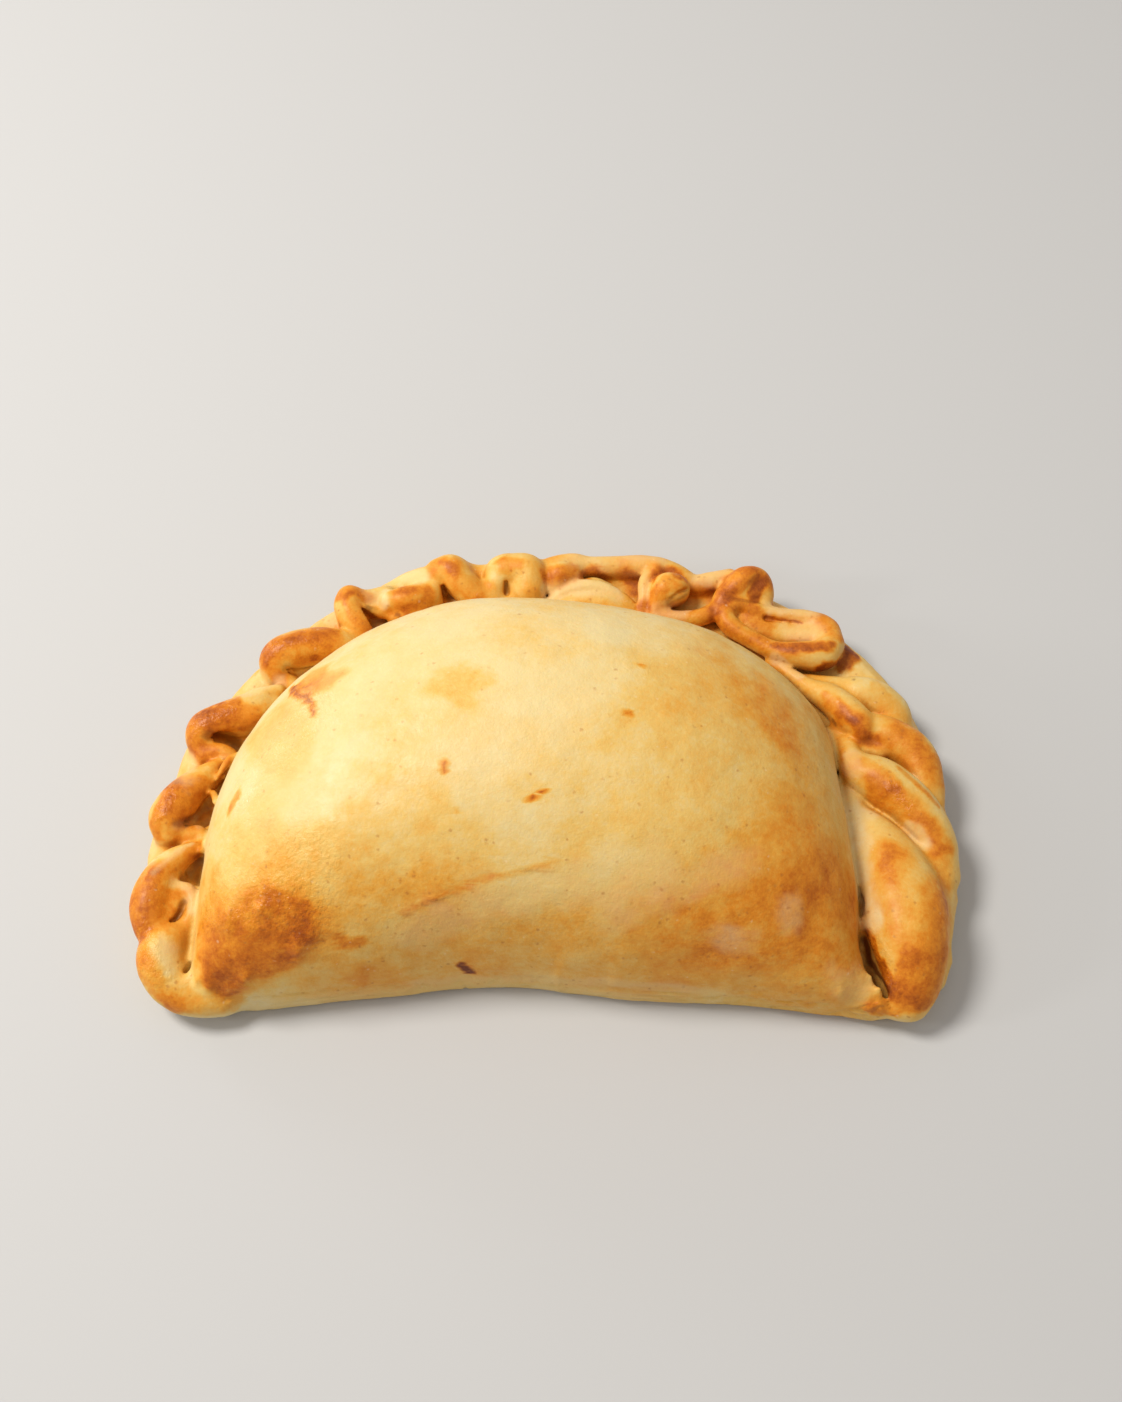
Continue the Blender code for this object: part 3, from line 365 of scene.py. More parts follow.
    (TOAST_AND_SHADE, 0.62, 1.4, 3.2, ((59.4, -24.7, 12.8), (58.2, -35, 11.5), (57.2, -39.1, 9.2),)),
    # painted shade: the slit between the dome and the last fold drawn dark brown to near black
    (TOAST_AND_SHADE, 1, 0.8, 0.6, ((49.1, -30.6, 8.5), (49.9, -33.4, 8.6), (51.2, -37.1, 8.2), (52.3, -39.9, 7.6),)),
    (DARK_GLAZE_AND_SHADE, 1, 0.6, 0.6, ((49.1, -30.5, 6.4), (49.8, -33.1, 4.3), (51.3, -39, 7.4),)),
    (DARK_GLAZE_AND_SHADE, 0.6, 0.2, 0.4, ((48.6, -23.6, 9), (48.6, -27.3, 9.6),)),
    (TOAST_AND_SHADE, 0.55, 0.8, 1.2, ((49.7, -41.2, 5.7), (53, -40.9, 7.1), (56.4, -41, 7.4),)),
    (TOAST_AND_SHADE, 0.35, 2, 3, ((54.1, -39.9, 8.6), (57.3, -37.5, 10.4),)),
    (GLOSS, 0.95, 3, 4, ((-49.1, -28.7, 17.3), (-41.6, -30.3, 20.8), (-36, -32, 20.4),)),
    (GLOSS, 0.8, 3, 4, ((-44.9, -11.7, 23.2), (-36.5, -3.1, 27.8),)),
    (GLOSS, 0.7, 1.5, 2, ((-59.5, -36.2, 9.4), (-62.7, -30.7, 8.3),)),
    (GLOSS, 0.9, 0.8, 1.5, ((49.4, -31.2, 9.4), (51.7, -38.6, 8),)),
    (GLOSS, 0.8, 1, 1.5, ((54.6, -7.8, 12.7), (56.2, -9.4, 12.4),)),
    (GLOSS, 0.6, 1.5, 2, ((-58, 6.9, 10.8), (-53.4, 8.5, 11.5),)),
    (GLOSS, 0.6, 1.5, 2, ((-47.6, 19.9, 10.7), (-40.5, 22.8, 11.6),)),
    (GLOSS, 0.7, 3, 5, ((-45.1, -21.5, 22.3), (-35.2, -25.7, 25.1),)),
    (GLOSS, 0.7, 1, 1.5, ((-62, -11, 10.9), (-60.3, -7.3, 11.4),)),
)
BLISTER = ((38.0, 5.0, 27.0),)
FOLD_LINE = ((-21.0, -30.6, 20.0), (-14.0, -29.0, 25.0), (-8.0, -27.6, 27.4), (-3.0, -26.6, 28.6))


def smooth_path(points, steps):
    """Points along a smooth curve that passes through the given ones (a Catmull-Rom spline)."""
    points = np.array(points, float)
    padded = np.vstack([2 * points[0] - points[1], points, 2 * points[-1] - points[-2]])
    t = (np.arange(steps) / steps)[:, None]
    path = []
    for before, start, end, after in zip(padded, padded[1:], padded[2:], padded[3:]):
        path.append(0.5 * (2 * start + (end - before) * t + (2 * before - 5 * start + 4 * end - after) * t ** 2
                           + (3 * start - before - 3 * end + after) * t ** 3))
    return np.vstack(path + [points[-1:]])


def smooth_step(low, high, x):
    t = np.clip((x - low) / (high - low), 0.0, 1.0)
    return t * t * (3.0 - 2.0 * t)


def join(a, b, blend):
    """The union of two fields, with its inner corner filled to a soft radius."""
    h = np.maximum(blend - np.abs(a - b), 0.0)
    return np.minimum(a, b) - h * h / (4.0 * blend)


def cut_out(a, b, blend):
    """Field a with the inside of field b taken away."""
    h = np.maximum(blend - np.abs(a + b), 0.0)
    return np.maximum(a, -b) + h * h / (4.0 * blend)


class Seam:
    """Measures places along the seam and out from it."""

    def __init__(self, corners):
        self.path = smooth_path(corners, 12)
        steps = np.diff(self.path, axis=0)
        self.lengths = np.linalg.norm(steps, axis=1)
        self.steps = steps / self.lengths[:, None]
        self.along = np.concatenate([[0.0], np.cumsum(self.lengths)])
        self.length = self.along[-1]

    def place(self, along, out, height):
        i = int(np.clip(np.searchsorted(self.along, along, side="left") - 1, 0, len(self.steps) - 1))
        step = self.steps[i]
        base = self.path[i] + step * (along - self.along[i])
        return (base[0] - step[1] * out, base[1] + step[0] * out, height)

    def measure(self, x, y):
        """For each column of the grid: the distance along the seam, and out from it."""
        near = np.full(np.broadcast(x, y).shape, 1e9)
        along = np.zeros_like(near)
        out = np.zeros_like(near)
        last = len(self.steps) - 1
        for i, (start, step, length) in enumerate(zip(self.path, self.steps, self.lengths)):
            dx, dy = x - start[0], y - start[1]
            run = dx * step[0] + dy * step[1]
            held = np.clip(run, 0.0 if i else -20.0, length if i < last else length + 20.0)
            side = -dx * step[1] + dy * step[0]
            far = np.hypot(run - held, side)
            closer = far < near
            near = np.where(closer, far, near)
            along = np.where(closer, self.along[i] + held, along)
            out = np.where(closer, np.sign(side) * far, out)
        return along, out


class Dough:
    """A block of space round the pastry, sampled on a regular grid."""

    def __init__(self, low, high, step):
        self.low = np.array(low, float)
        self.step = step
        self.axes = [np.arange(a, b + step, step) for a, b in zip(low, high)]
        self.field = np.full([len(axis) for axis in self.axes], 9.0, np.float32)

    def window(self, low, high):
        """The part of the grid inside a box: its slices, and its coordinates as open arrays."""
        cuts = []
        for axis, a, b in zip(self.axes, low, high):
            cuts.append(slice(int(np.searchsorted(axis, a)), int(np.searchsorted(axis, b)) + 1))
        return tuple(cuts), np.ix_(*[axis[cut] for axis, cut in zip(self.axes, cuts)])

    def roll(self, nodes, flat=1.0, steps=10, margin=4.0):
        """The field of a roll through nodes (x, y, z, half thickness), flattened by that much in height."""
        path = smooth_path(nodes, steps)
        reach = path[:, 3].max() + margin
        cuts, (x, y, z) = self.window(path[:, :3].min(0) - reach, path[:, :3].max(0) + reach)
        field = np.full((x.size, y.size, z.size), 1e9, np.float32)
        for a, b in zip(path, path[1:]):
            ab = (b - a)[:3] * (1.0, 1.0, flat)
            px, py, pz = x - a[0], y - a[1], (z - a[2]) * flat
            t = np.clip((px * ab[0] + py * ab[1] + pz * ab[2]) / max(ab @ ab, 1e-9), 0.0, 1.0)
            far = np.sqrt((px - t * ab[0]) ** 2 + (py - t * ab[1]) ** 2 + (pz - t * ab[2]) ** 2)
            np.minimum(field, far - (a[3] + t * (b[3] - a[3])), out=field)
        return cuts, field

    def add(self, nodes, blend=0.8, flat=1.0):
        cuts, field = self.roll(nodes, flat)
        self.field[cuts] = join(self.field[cuts], field, blend)

    def carve(self, nodes, blend=0.8, flat=1.0):
        cuts, field = self.roll(nodes, flat)
        self.field[cuts] = cut_out(self.field[cuts], field, blend)

    def read(self, field, points):
        """A field of this grid at any points, read between the samples."""
        place = (points - self.low) / self.step
        place = np.clip(place, 0.0, np.array(field.shape) - 1.001)
        i = place.astype(int)
        f = place - i
        value = np.zeros(len(points))
        for corner in np.ndindex(2, 2, 2):
            weight = np.prod(np.where(corner, f, 1.0 - f), axis=1)
            value += weight * field[i[:, 0] + corner[0], i[:, 1] + corner[1], i[:, 2] + corner[2]]
        return value

    def skin(self):
        """The surface where the field is zero, as points and four-sided faces (naive surface nets)."""
        inside = self.field < 0.0
        nx, ny, nz = inside.shape
        count = np.zeros((nx - 1, ny - 1, nz - 1), np.int8)
        for a, b, c in np.ndindex(2, 2, 2):
            count += inside[a:nx - 1 + a, b:ny - 1 + b, c:nz - 1 + c]
        cells = np.argwhere((count > 0) & (count < 8))
        number = np.full(count.shape, -1, np.int32)
        number[tuple(cells.T)] = np.arange(len(cells))
        corners = np.array(list(np.ndindex(2, 2, 2)))
        values = np.stack([self.field[tuple((cells + corner).T)] for corner in corners], axis=1)
        total = np.zeros((len(cells), 3))
        hits = np.zeros(len(cells))
        for i, start in enumerate(corners):
            for j, end in enumerate(corners):
                if j <= i or abs(end - start).sum() != 1:
                    continue
                a, b = values[:, i], values[:, j]
                crossed = (a < 0.0) != (b < 0.0)
                t = np.where(crossed, a / np.where(crossed, a - b, 1.0), 0.0)
                total += crossed[:, None] * (start + t[:, None] * (end - start))
                hits += crossed
        points = self.low + (cells + total / hits[:, None]) * self.step
        faces = []
        for axis in range(3):
            u, v = (axis + 1) % 3, (axis + 2) % 3
            first = [slice(None)] * 3
            second = [slice(None)] * 3
            first[axis], second[axis] = slice(0, -1), slice(1, None)
            a, b = inside[tuple(first)], inside[tuple(second)]
            edges = np.argwhere(a != b)
            edges = edges[(edges[:, u] > 0) & (edges[:, v] > 0)]
            leaving = a[tuple(edges.T)]
            unit_u, unit_v = np.eye(3, dtype=int)[u], np.eye(3, dtype=int)[v]
            quad = np.stack([number[tuple((edges - unit_u - unit_v).T)], number[tuple((edges - unit_v).T)],
                             number[tuple(edges.T)], number[tuple((edges - unit_u).T)]], axis=1)
            faces.append(np.where(leaving[:, None], quad, quad[:, ::-1]))
        return points, np.vstack(faces)


def plump(outline, step=1.0):
    """How far a skin held down along an outline rises when it is filled: 1 at its highest, and 0 along the line.

    Outside the outline it falls on below 0, in proportion to the distance."""
    xs = np.arange(-70.0, 70.1, step)
    ys = np.arange(-50.0, 50.1, step)
    x, y = np.meshgrid(xs, ys, indexing="ij")
    inside = np.zeros(x.shape, bool)
    near = np.full(x.shape, 1e9)
    for (ax, ay), (bx, by) in zip(outline, np.roll(outline, -1, axis=0)):
        crosses = (ay > y) != (by > y)
        inside ^= crosses & (x < (bx - ax) * (y - ay) / (by - ay if by != ay else 1e-9) + ax)
        run = np.clip(((x - ax) * (bx - ax) + (y - ay) * (by - ay)) / max((bx - ax) ** 2 + (by - ay) ** 2, 1e-9), 0, 1)
        near = np.minimum(near, np.hypot(x - ax - run * (bx - ax), y - ay - run * (by - ay)))
    rise = np.where(inside, near * 20.0, 0.0)
    odd = (np.add.outer(np.arange(len(xs)), np.arange(len(ys))) % 2).astype(bool)
    # the line runs between the grid's samples: a sample beside it is held by its own distance to it
    held = near < 0.75 * step
    for _ in range(400):
        for half in (odd, ~odd):
            mean = np.zeros_like(rise)
            mean[1:-1, 1:-1] = (rise[:-2, 1:-1] + rise[2:, 1:-1] + rise[1:-1, :-2] + rise[1:-1, 2:] + step * step) / 4
            free = inside & half & ~held
            rise[free] += 1.85 * (mean[free] - rise[free])
            slope = 18.0
            rise[inside & half & held] = near[inside & half & held] * slope
    top = rise.max()
    field = np.where(inside, rise / top, -near * 18.0 / top)
    return xs, ys, field


def read_grid(xs, ys, field, x, y):
    """Values of a regular plan grid at any x and y, smoothly between its samples."""
    u = np.clip((x - xs[0]) / (xs[1] - xs[0]), 0, len(xs) - 1.001)
    v = np.clip((y - ys[0]) / (ys[1] - ys[0]), 0, len(ys) - 1.001)
    i, j = u.astype(int), v.astype(int)
    f, g = u - i, v - j
    return ((1 - f) * (1 - g) * field[i, j] + f * (1 - g) * field[i + 1, j]
            + (1 - f) * g * field[i, j + 1] + f * g * field[i + 1, j + 1])


def dome_field(dough):
    """The filled dome, plump inside its outline and tucked in a little under its widest line."""
    outline = smooth_path(DOME_OUTLINE + DOME_OUTLINE[:1], 8)[:-1]
    xs, ys, rise = plump(outline)
    x, y, z = np.ix_(*dough.axes)
    share = read_grid(xs, ys, rise, *np.broadcast_arrays(x[..., 0], y[..., 0]))[..., None]
    up = np.where(z > DOME_WAIST, (z - DOME_WAIST) / (DOME_HEIGHT - DOME_WAIST), (DOME_WAIST - z) / 9.0)
    field = up ** (1.0 / PLUMPNESS) - share
    field = field.astype(np.float32)
    slope = np.sqrt(sum(g * g for g in np.gradient(field, dough.step)))
    return field / np.maximum(slope, 0.004)


def edge_field(dough, seam):
    """The doubled edge of the dough under the pleats: a flat floor that ends in a round roll."""
    x, y, z = np.ix_(*dough.axes)
    along, out = seam.measure(x[..., 0], y[..., 0])
    reach = np.interp(along, [row[0] for row in EDGE_REACH], [row[1] for row in EDGE_REACH])
    centre = (reach - EDGE_ROLL)[..., None]
    roll = np.hypot(out[..., None] - centre, z - EDGE_ROLL) - EDGE_ROLL
    floor = np.maximum(z - EDGE_FLOOR, out[..., None] - centre)
    body = join(roll, floor, 2.5)
    body = np.maximum(body, -8.0 - out[..., None])
    ends = np.maximum(-along, along - seam.length)[..., None]
    return np.maximum(body, ends).astype(np.float32)


def shape_dough():
    low = np.array(cad_low) / MM - (3.0, 3.0, 1.5)
    high = np.array(cad_high) / MM + (3.0, 3.0, 3.0)
    dough = Dough(low, high, GRID)
    seam = Seam(SEAM)
    dough.dome = dome_field(dough)
    dough.field = dough.dome
    dough.field = join(dough.field, edge_field(dough, seam), 1.5)
    for flat, blend, nodes in FOLDS.values():
        dough.add(nodes, blend, flat)
    for flat, blend, nodes in HOLLOWS.values():
        dough.carve(nodes, blend, flat)
    # pressed flat underneath
    z = dough.axes[2][None, None, :]
    dough.field = np.maximum(dough.field, (BASE_CUT - z).astype(np.float32))
    return dough, seam


# ---------------------------------------------------------------- mesh

def make_mesh(name, points, faces):
    data = bpy.data.meshes.new(name)
    data.vertices.add(len(points))
    data.vertices.foreach_set("co", (points * MM).astype(np.float32).ravel())
    data.loops.add(faces.size)
    data.loops.foreach_set("vertex_index", faces.astype(np.int32).ravel())
    data.polygons.add(len(faces))
    data.polygons.foreach_set("loop_start", np.arange(0, faces.size, 4, dtype=np.int32))
    data.polygons.foreach_set("loop_total", np.full(len(faces), 4, np.int32))
    data.update(calc_edges=True)
    data.validate()
    return data


def apply_modifiers(piece):
    """Replaces the piece's mesh with what its modifiers make of it."""
    shape = piece.evaluated_get(bpy.context.evaluated_depsgraph_get())
    data = bpy.data.meshes.new_from_object(shape)
    old = piece.data
    piece.modifiers.clear()
    piece.data = data
    bpy.data.meshes.remove(old)


def dough_piece():
    dough, seam = shape_dough()
    points, faces = dough.skin()
    piece = bpy.data.objects.new("empanada_skin", make_mesh("empanada_skin", points, faces))
    bpy.context.scene.collection.objects.link(piece)
    soften = piece.modifiers.new("soften", "SMOOTH")
    soften.factor = 0.5
    soften.iterations = 2
    thin_out = piece.modifiers.new("fewer triangles", "DECIMATE")
    thin_out.ratio = min(1.0, MOST_TRIANGLES / (2 * len(faces)))
    apply_modifiers(piece)
    print("faces", len(faces), "->", len(piece.data.polygons))
    piece.data.shade_smooth()
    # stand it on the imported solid's resting face
    co = np.empty(len(piece.data.vertices) * 3, np.float32)
    piece.data.vertices.foreach_get("co", co)
    co = co.reshape(-1, 3)
    lift = cad_low[2] - co[:, 2].min()
    co[:, 2] += lift
    piece.data.vertices.foreach_set("co", co.ravel())
    print("box", co.min(0) / MM, co.max(0) / MM, "cad", np.array(cad_low) / MM, np.array(cad_high) / MM)
    finish_points(piece, dough, lift / MM)
    return piece


# ---------------------------------------------------------------- relief, browning and painted shade, point by point

def lattice_noise(points, size, seed):
    """Smooth noise, -1 to 1, whose lumps are about that size across."""
    values = np.random.RandomState(seed).uniform(-1.0, 1.0, (32, 32, 32))
    place = points / size + 100.0
    cell = np.floor(place).astype(int)
    f = place - cell
    f = f * f * f * (f * (6.0 * f - 15.0) + 10.0)
    total = np.zeros(len(points))
    for corner in np.ndindex(2, 2, 2):
        weight = np.prod(np.where(corner, f, 1.0 - f), axis=1)
        i, j, k = ((cell + corner) % 32).T
        total += weight * values[i, j, k]
    return total


def line_distance(points, places):
    """The distance of each point from a line through some places, or from the one place."""
    places = np.array(places, float)
    if len(places) == 1:
        return np.linalg.norm(points - places[0], axis=1)
    near = np.full(len(points), 1e9)
    for a, b in zip(places, places[1:]):
        ab = b - a
        t = np.clip((points - a) @ ab / max(ab @ ab, 1e-9), 0.0, 1.0)
        near = np.minimum(near, np.linalg.norm(points - a - t[:, None] * ab, axis=1))
    return near


def marks_on(points):
    """How strongly each point carries every kind of mark."""
    amounts = np.zeros((len(points), 4))
    warp = np.stack([lattice_noise(points, 2.6, seed) for seed in (11, 12, 13)], axis=1)
    fine = np.stack([lattice_noise(points, 0.9, seed) for seed in (14, 15, 16)], axis=1)
    for kind, strength, half_width, edge, places in MARKS:
        shift = warp * min(1.3, 0.34 * (half_width + edge)) + fine * min(0.45, 0.20 * (half_width + edge))
        span = np.array(places, float)
        reach = half_width + edge + 1.6
        near = np.all((points > span.min(0) - reach) & (points < span.max(0) + reach), axis=1)
        far = line_distance((points + shift)[near], places)
        amount = strength * (1.0 - smooth_step(half_width, half_width + edge, far))
        amounts[near, kind] = 1.0 - (1.0 - amounts[near, kind]) * (1.0 - amount)
    return amounts


def relief(points, normals, dome_share, amounts):
    """How far each point of the skin stands out or in: the slack and blisters of baked dough."""
    low = 0.22 * lattice_noise(points, 17.0, 1) + 0.16 * lattice_noise(points, 7.5, 2)
    small = 0.06 * lattice_noise(points, 3.0, 3) + 0.04 * lattice_noise(points, 1.5, 4)
    height = low * dome_share + small
    blisters = np.maximum(lattice_noise(points, 2.8, 5), 0.0) ** 1.5
    height += 0.9 * blisters * smooth_step(0.35, 0.85, amounts[:, TOAST_AND_SHADE]) * dome_share
    height += 0.35 * (1.0 - smooth_step(1.0, 6.0, line_distance(points, BLISTER)))
    fold = line_distance(points, FOLD_LINE)
    height += 0.09 * (1.0 - smooth_step(0.2, 1.3, fold)) * dome_share
    # fine cracks along the foot of the plain front
    front = dome_share * smooth_step(8.5, 4.5, points[:, 2]) * smooth_step(-30.0, -33.0, points[:, 1])
    stretched = points * (0.25, 1.0, 1.0)
    cracks = 1.0 - smooth_step(0.0, 0.16, np.abs(lattice_noise(stretched, 1.3, 6)))
    height -= 0.34 * cracks * front
    return height


def finish_points(piece, dough, lift):
    """Moves the points of the skin by its relief, and writes how the oven coloured each one, with shade painted into
    the enclosed places of the crimp.
    """
    data = piece.data
    count = len(data.vertices)
    points = np.empty(count * 3, np.float32)
    data.vertices.foreach_get("co", points)
    points = points.reshape(-1, 3).astype(float) / MM
    normals = np.empty(count * 3, np.float32)
    data.vertex_normals.foreach_get("vector", normals)
    normals = normals.reshape(-1, 3).astype(float)

    unlifted = points - (0.0, 0.0, lift)
    dome_share = 1.0 - smooth_step(0.35, 1.2, dough.read(dough.dome, unlifted))
    amounts = marks_on(points)
    open_to_air = np.zeros(count)
    for far in (1.0, 2.2, 4.5):
        open_to_air += np.clip(dough.read(dough.field, unlifted + normals * far) / far, 0.0, 1.0) / 3.0
    depth = 3.2
    crest = 1.0 - np.clip(-dough.read(dough.field, unlifted - normals * depth) / depth, 0.0, 1.0)

    standing = relief(points, normals, dome_share, amounts)
    base = smooth_step(0.0, 1.2, points[:, 2])
    points += normals * (standing * base)[:, None]
    data.vertices.foreach_set("co", (points * MM).astype(np.float32).ravel())
    data.update()

    fold_share = 1.0 - dome_share
    upward = np.clip(normals[:, 2], 0.0, 1.0)
    patches = lattice_noise(points, 9.0, 7)
    x, y = points[:, 0], points[:, 1]
    browning_and_shade = 0.07 + 0.08 * patches + 0.06 * lattice_noise(points, 22.0, 8)
    browning_and_shade += 0.06 * lattice_noise(points + 2.0 * lattice_noise(points, 5.0, 9)[:, None], 4.5, 10)
    browning_and_shade += dome_share * (0.13 * smooth_step(0.0, 40.0, x) + 0.15 * smooth_step(0.0, -40.0, y))
    browning_and_shade += fold_share * (0.14 + 0.26 * crest * upward ** 0.5 * (0.6 + 0.5 * patches))
    # painted shade: the crimp's enclosed places drawn browner, where shade falls
    browning_and_shade += 0.22 * (1.0 - open_to_air) * fold_share
    outward = (1.0 - upward) * smooth_step(-10.0, 10.0, y + 0.9 * np.abs(x) - 30.0)
    browning_and_shade += fold_share * outward * (0.12 + 0.20 * lattice_noise(points, 7.0, 17)) * smooth_step(1.0, 4.0, points[:, 2])
    low_down = smooth_step(6.5, 2.0, points[:, 2])
    browning_and_shade *= 1.0 - 0.4 * low_down
    browning_and_shade = 1.0 - (1.0 - np.clip(browning_and_shade, 0.0, 1.0)) * (1.0 - amounts[:, TOAST_AND_SHADE] * (0.86 + 0.2 * patches))
    grey_foot = low_down * (1.0 - smooth_step(8.0, 30.0, x) * smooth_step(-20.0, -30.0, y))
    pale = np.maximum(amounts[:, PALE], 0.45 * grey_foot * (0.8 + 0.5 * patches))
    pale = np.clip(pale * (1.0 - 0.7 * amounts[:, TOAST_AND_SHADE]), 0.0, 1.0)
    # painted shade: the enclosed places of the crimp drawn darker, towards near black
    dark_glaze_and_shade = 1.0 - (1.0 - amounts[:, DARK_GLAZE_AND_SHADE]) * (1.0 - 0.35 * smooth_step(0.45, 0.05, open_to_air) * fold_share)
    colour = np.stack([browning_and_shade, pale, dark_glaze_and_shade, amounts[:, GLOSS]], axis=1)
    attribute = data.attributes.new("baking_and_shade", "FLOAT_COLOR", "POINT")
    attribute.data.foreach_set("color", np.clip(colour, 0.0, 1.0).astype(np.float32).ravel())


# ---------------------------------------------------------------- finish

class Nodes:
    """Small help for wiring a material."""

    def __init__(self, name):
        self.material = bpy.data.materials.new(name)
        self.material.use_nodes = True
        self.tree = self.material.node_tree
        self.shader = self.tree.nodes["Principled BSDF"]

    def add(self, kind, inputs=(), **settings):
        """A node with its settings, and its inputs by name or number: a value, or a socket to link from."""
        node = self.tree.nodes.new(kind)
        for key, value in settings.items():
            setattr(node, key, value)
        for key, value in dict(inputs).items():
            if isinstance(value, bpy.types.NodeSocket):
                self.tree.links.new(value, node.inputs[key])
            else:
                node.inputs[key].default_value = value
        return node

    def math(self, operation, a, b=0.0, c=0.0, clamp=False):
        return self.add("ShaderNodeMath", {0: a, 1: b, 2: c}, operation=operation, use_clamp=clamp).outputs[0]

    def mix(self, share, a, b, blend="MIX"):
        node = self.add("ShaderNodeMix", {0: share, 6: a, 7: b}, data_type="RGBA", blend_type=blend)
        return node.outputs[2]

    def ramp(self, value, stops, smooth=True):
        node = self.add("ShaderNodeValToRGB", {0: value})
        ramp = node.color_ramp
        ramp.interpolation = "B_SPLINE" if smooth else "LINEAR"
        while len(ramp.elements) < len(stops):
            ramp.elements.new(0.5)
        for element, (place, colour) in zip(ramp.elements, stops):
            element.position = place
            element.color = (*colour, 1.0)
        return node.outputs[0]

    def noise(self, where, scale, detail=2.0, roughness=0.5):
        return self.add("ShaderNodeTexNoise", {"Vector": where, "Scale": scale, "Detail": detail,
                                               "Roughness": roughness}).outputs[0]

    def range(self, value, low, high, to_low=0.0, to_high=1.0):
        return self.add("ShaderNodeMapRange", {0: value, 1: low, 2: high, 3: to_low, 4: to_high}).outputs[0]


def dough_material():
    n = Nodes("baked_dough")
    where = n.add("ShaderNodeTexCoord").outputs["Object"]
    baking_and_shade = n.add("ShaderNodeAttribute", attribute_name="baking_and_shade")
    browning_and_shade, pale, dark_glaze_and_shade = n.add("ShaderNodeSeparateColor", {0: baking_and_shade.outputs["Color"]}).outputs[:3]
    gloss = baking_and_shade.outputs["Alpha"]

    broad = n.noise(where, 85.0, 3.0)
    medium = n.noise(where, 330.0, 4.0, 0.65)
    fine = n.noise(where, 1300.0, 3.0, 0.7)
    # the browner the crust, the more it is mottled
    uneven = n.math("MULTIPLY_ADD", browning_and_shade, 0.75, 0.22)
    mottled = n.math("MULTIPLY_ADD", n.math("SUBTRACT", broad, 0.5), 0.26, browning_and_shade)
    blotches = n.math("MULTIPLY", n.math("SUBTRACT", medium, 0.5), 1.05)
    blotches = n.math("MULTIPLY_ADD", n.math("SUBTRACT", fine, 0.5), 0.55, blotches)
    mottled = n.math("MULTIPLY_ADD", blotches, uneven, mottled)
    colour = n.ramp(mottled, CRUST_RAMP, smooth=False)
    pale_share = n.math("MULTIPLY", pale, n.range(medium, 0.30, 0.62, 0.35, 1.0), clamp=True)
    colour = n.mix(pale_share, colour, (*PALE_DOUGH, 1.0))
    # painted shade with dark glaze: pockets, creases and enclosed places drawn towards near black
    colour = n.mix(n.math("MULTIPLY", dark_glaze_and_shade, 0.92, clamp=True), colour, (*DARK_GLAZE_AND_SHADE_COLOUR, 1.0))

    # tiny scorched bubbles, the more of them the browner the crust, and flecks of flour
    ragged = n.add("ShaderNodeVectorMath", {0: n.add("ShaderNodeTexNoise", {"Vector": where, "Scale": 1800.0}).outputs[1],
                                            1: (0.0006, 0.0006, 0.0006)}, operation="MULTIPLY").outputs[0]
    ragged = n.add("ShaderNodeVectorMath", {0: where, 1: ragged}, operation="ADD").outputs[0]
    cells = n.add("ShaderNodeTexVoronoi", {"Vector": ragged, "Scale": 950.0})
    chance = n.add("ShaderNodeSeparateColor", {0: cells.outputs["Color"]}).outputs[0]
    chance = n.math("MULTIPLY_ADD", browning_and_shade, 0.22, chance)
    dot = n.range(cells.outputs["Distance"], 0.12, 0.34, 1.0, 0.0)
    dot = n.math("MULTIPLY", dot, n.range(chance, 0.90, 1.02), clamp=True)
    colour = n.mix(n.math("MULTIPLY", dot, 0.50), colour, (0.40, 0.13, 0.02, 1.0))
    flour = n.add("ShaderNodeTexVoronoi", {"Vector": ragged, "Scale": 1100.0})
    flour_chance = n.add("ShaderNodeSeparateColor", {0: flour.outputs["Color"]}).outputs[1]
    fleck = n.range(flour.outputs["Distance"], 0.10, 0.30, 1.0, 0.0)
    fleck = n.math("MULTIPLY", fleck, n.range(flour_chance, 0.955, 0.985), clamp=True)
    colour = n.mix(n.math("MULTIPLY", fleck, 0.22), colour, (0.88, 0.76, 0.52, 1.0))
    n.tree.links.new(colour, n.shader.inputs["Base Color"])

    rough = n.range(medium, 0.32, 0.68, 0.38, 0.58)
    rough = n.math("MULTIPLY_ADD", gloss, -0.24, rough)
    rough = n.math("MULTIPLY_ADD", pale, 0.10, rough, clamp=True)
    n.tree.links.new(rough, n.shader.inputs["Roughness"])
    n.shader.inputs["Coat Weight"].default_value = 0.04
    n.shader.inputs["Coat Roughness"].default_value = 0.22
    n.shader.inputs["Specular IOR Level"].default_value = 0.22
    n.shader.inputs["Subsurface Weight"].default_value = 0.03
    n.shader.inputs["Subsurface Radius"].default_value = (1.0, 0.36, 0.08)
    n.shader.inputs["Subsurface Scale"].default_value = 0.0018

    skin = n.noise(where, 420.0, 4.0, 0.62)
    grain = n.noise(where, 2600.0, 2.0, 0.6)
    bump = n.add("ShaderNodeBump", {"Height": skin, "Strength": 0.55, "Distance": 0.0003})
    bump = n.add("ShaderNodeBump", {"Height": grain, "Strength": 0.45, "Distance": 0.0001,
                                    "Normal": bump.outputs[0]})
    crackle = n.noise(where, 1150.0, 3.0, 0.6)
    crackle = n.math("MULTIPLY", crackle, n.math("MULTIPLY_ADD", gloss, 0.9, 0.10))
    bump = n.add("ShaderNodeBump", {"Height": crackle, "Strength": 1.0, "Distance": 0.00035,
                                    "Normal": bump.outputs[0]})
    n.tree.links.new(bump.outputs[0], n.shader.inputs["Normal"])
    return n.material


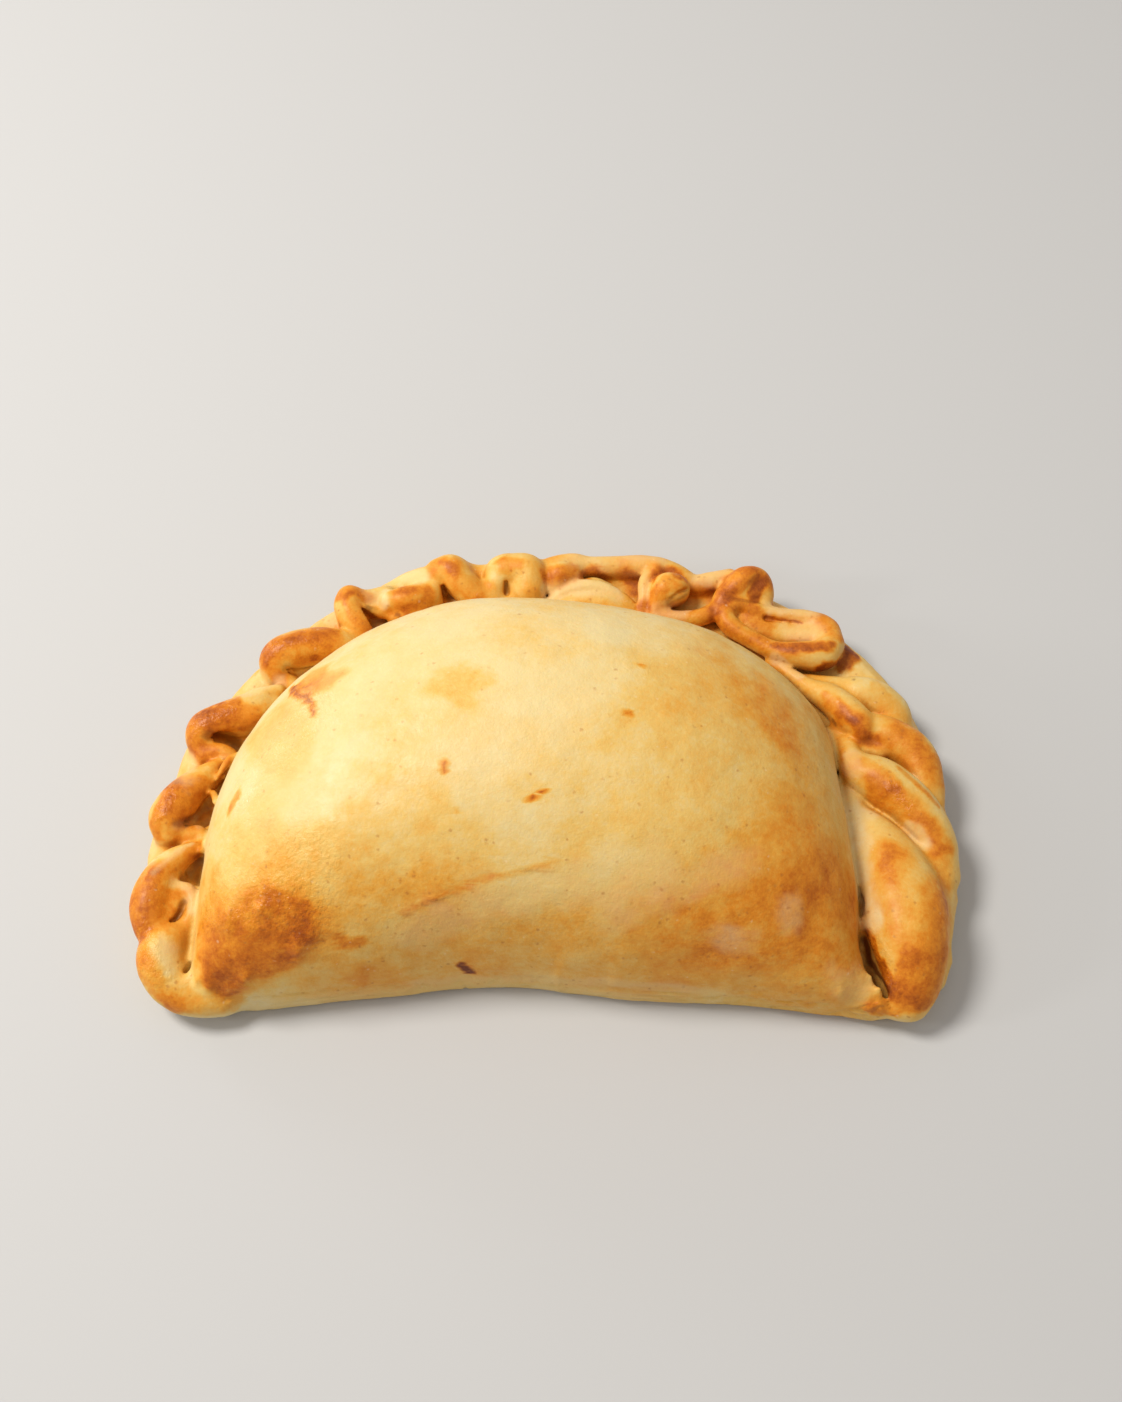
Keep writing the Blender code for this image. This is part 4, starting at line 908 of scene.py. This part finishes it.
def floor_material():
    material = bpy.data.materials.new("pale_floor")
    material.use_nodes = True
    shader = material.node_tree.nodes["Principled BSDF"]
    shader.inputs["Base Color"].default_value = (0.52, 0.52, 0.53, 1.0)
    shader.inputs["Roughness"].default_value = 0.8
    return material


def make_stage():
    data = bpy.data.meshes.new("floor")
    side = 1.6
    data.from_pydata([(-side, -side, 0), (side, -side, 0), (side, side, 0), (-side, side, 0)], [], [(0, 1, 2, 3)])
    data.materials.append(floor_material())
    floor = bpy.data.objects.new("floor", data)
    floor.location.z = cad_low[2]
    bpy.context.scene.collection.objects.link(floor)


def aim(thing, target):
    thing.rotation_euler = (Vector(target) - thing.location).to_track_quat("-Z", "Y").to_euler()


def make_light(name, place, size, power, colour):
    data = bpy.data.lights.new(name, "AREA")
    data.shape = "DISK"
    data.size = size
    data.energy = power
    data.color = colour
    light = bpy.data.objects.new(name, data)
    light.location = place
    aim(light, (0.0, 0.0, 0.01))
    bpy.context.scene.collection.objects.link(light)


def make_camera():
    data = bpy.data.cameras.new("camera")
    data.lens = 41.08
    data.sensor_width = 36.0
    camera = bpy.data.objects.new("camera", data)
    camera.location = (0.002, -0.1266, 0.23681)
    camera.rotation_euler = (math.radians(31.184), 0.0, 0.0)
    bpy.context.scene.collection.objects.link(camera)
    bpy.context.scene.camera = camera


make_camera()
make_stage()
make_light("key", (-0.40, 0.12, 0.68), 0.26, 5.5, (1.0, 0.96, 0.88))
make_light("low window", (-0.60, -0.10, 0.27), 0.10, 0.55, (1.0, 0.98, 0.94))
make_light("window", (-0.62, 0.46, 0.16), 0.22, 0.9, (1.0, 1.0, 1.0))
world = bpy.data.worlds.new("studio")
world.use_nodes = True
world.node_tree.nodes["Background"].inputs["Color"].default_value = (1.0, 0.96, 0.90, 1.0)
world.node_tree.nodes["Background"].inputs["Strength"].default_value = 0.51
bpy.context.scene.world = world
bpy.context.scene.view_settings.view_transform = "Standard"

skin_piece = dough_piece()
skin_piece.data.materials.clear()
skin_piece.data.materials.append(dough_material())
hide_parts("empanada")
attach(skin_piece, "root")
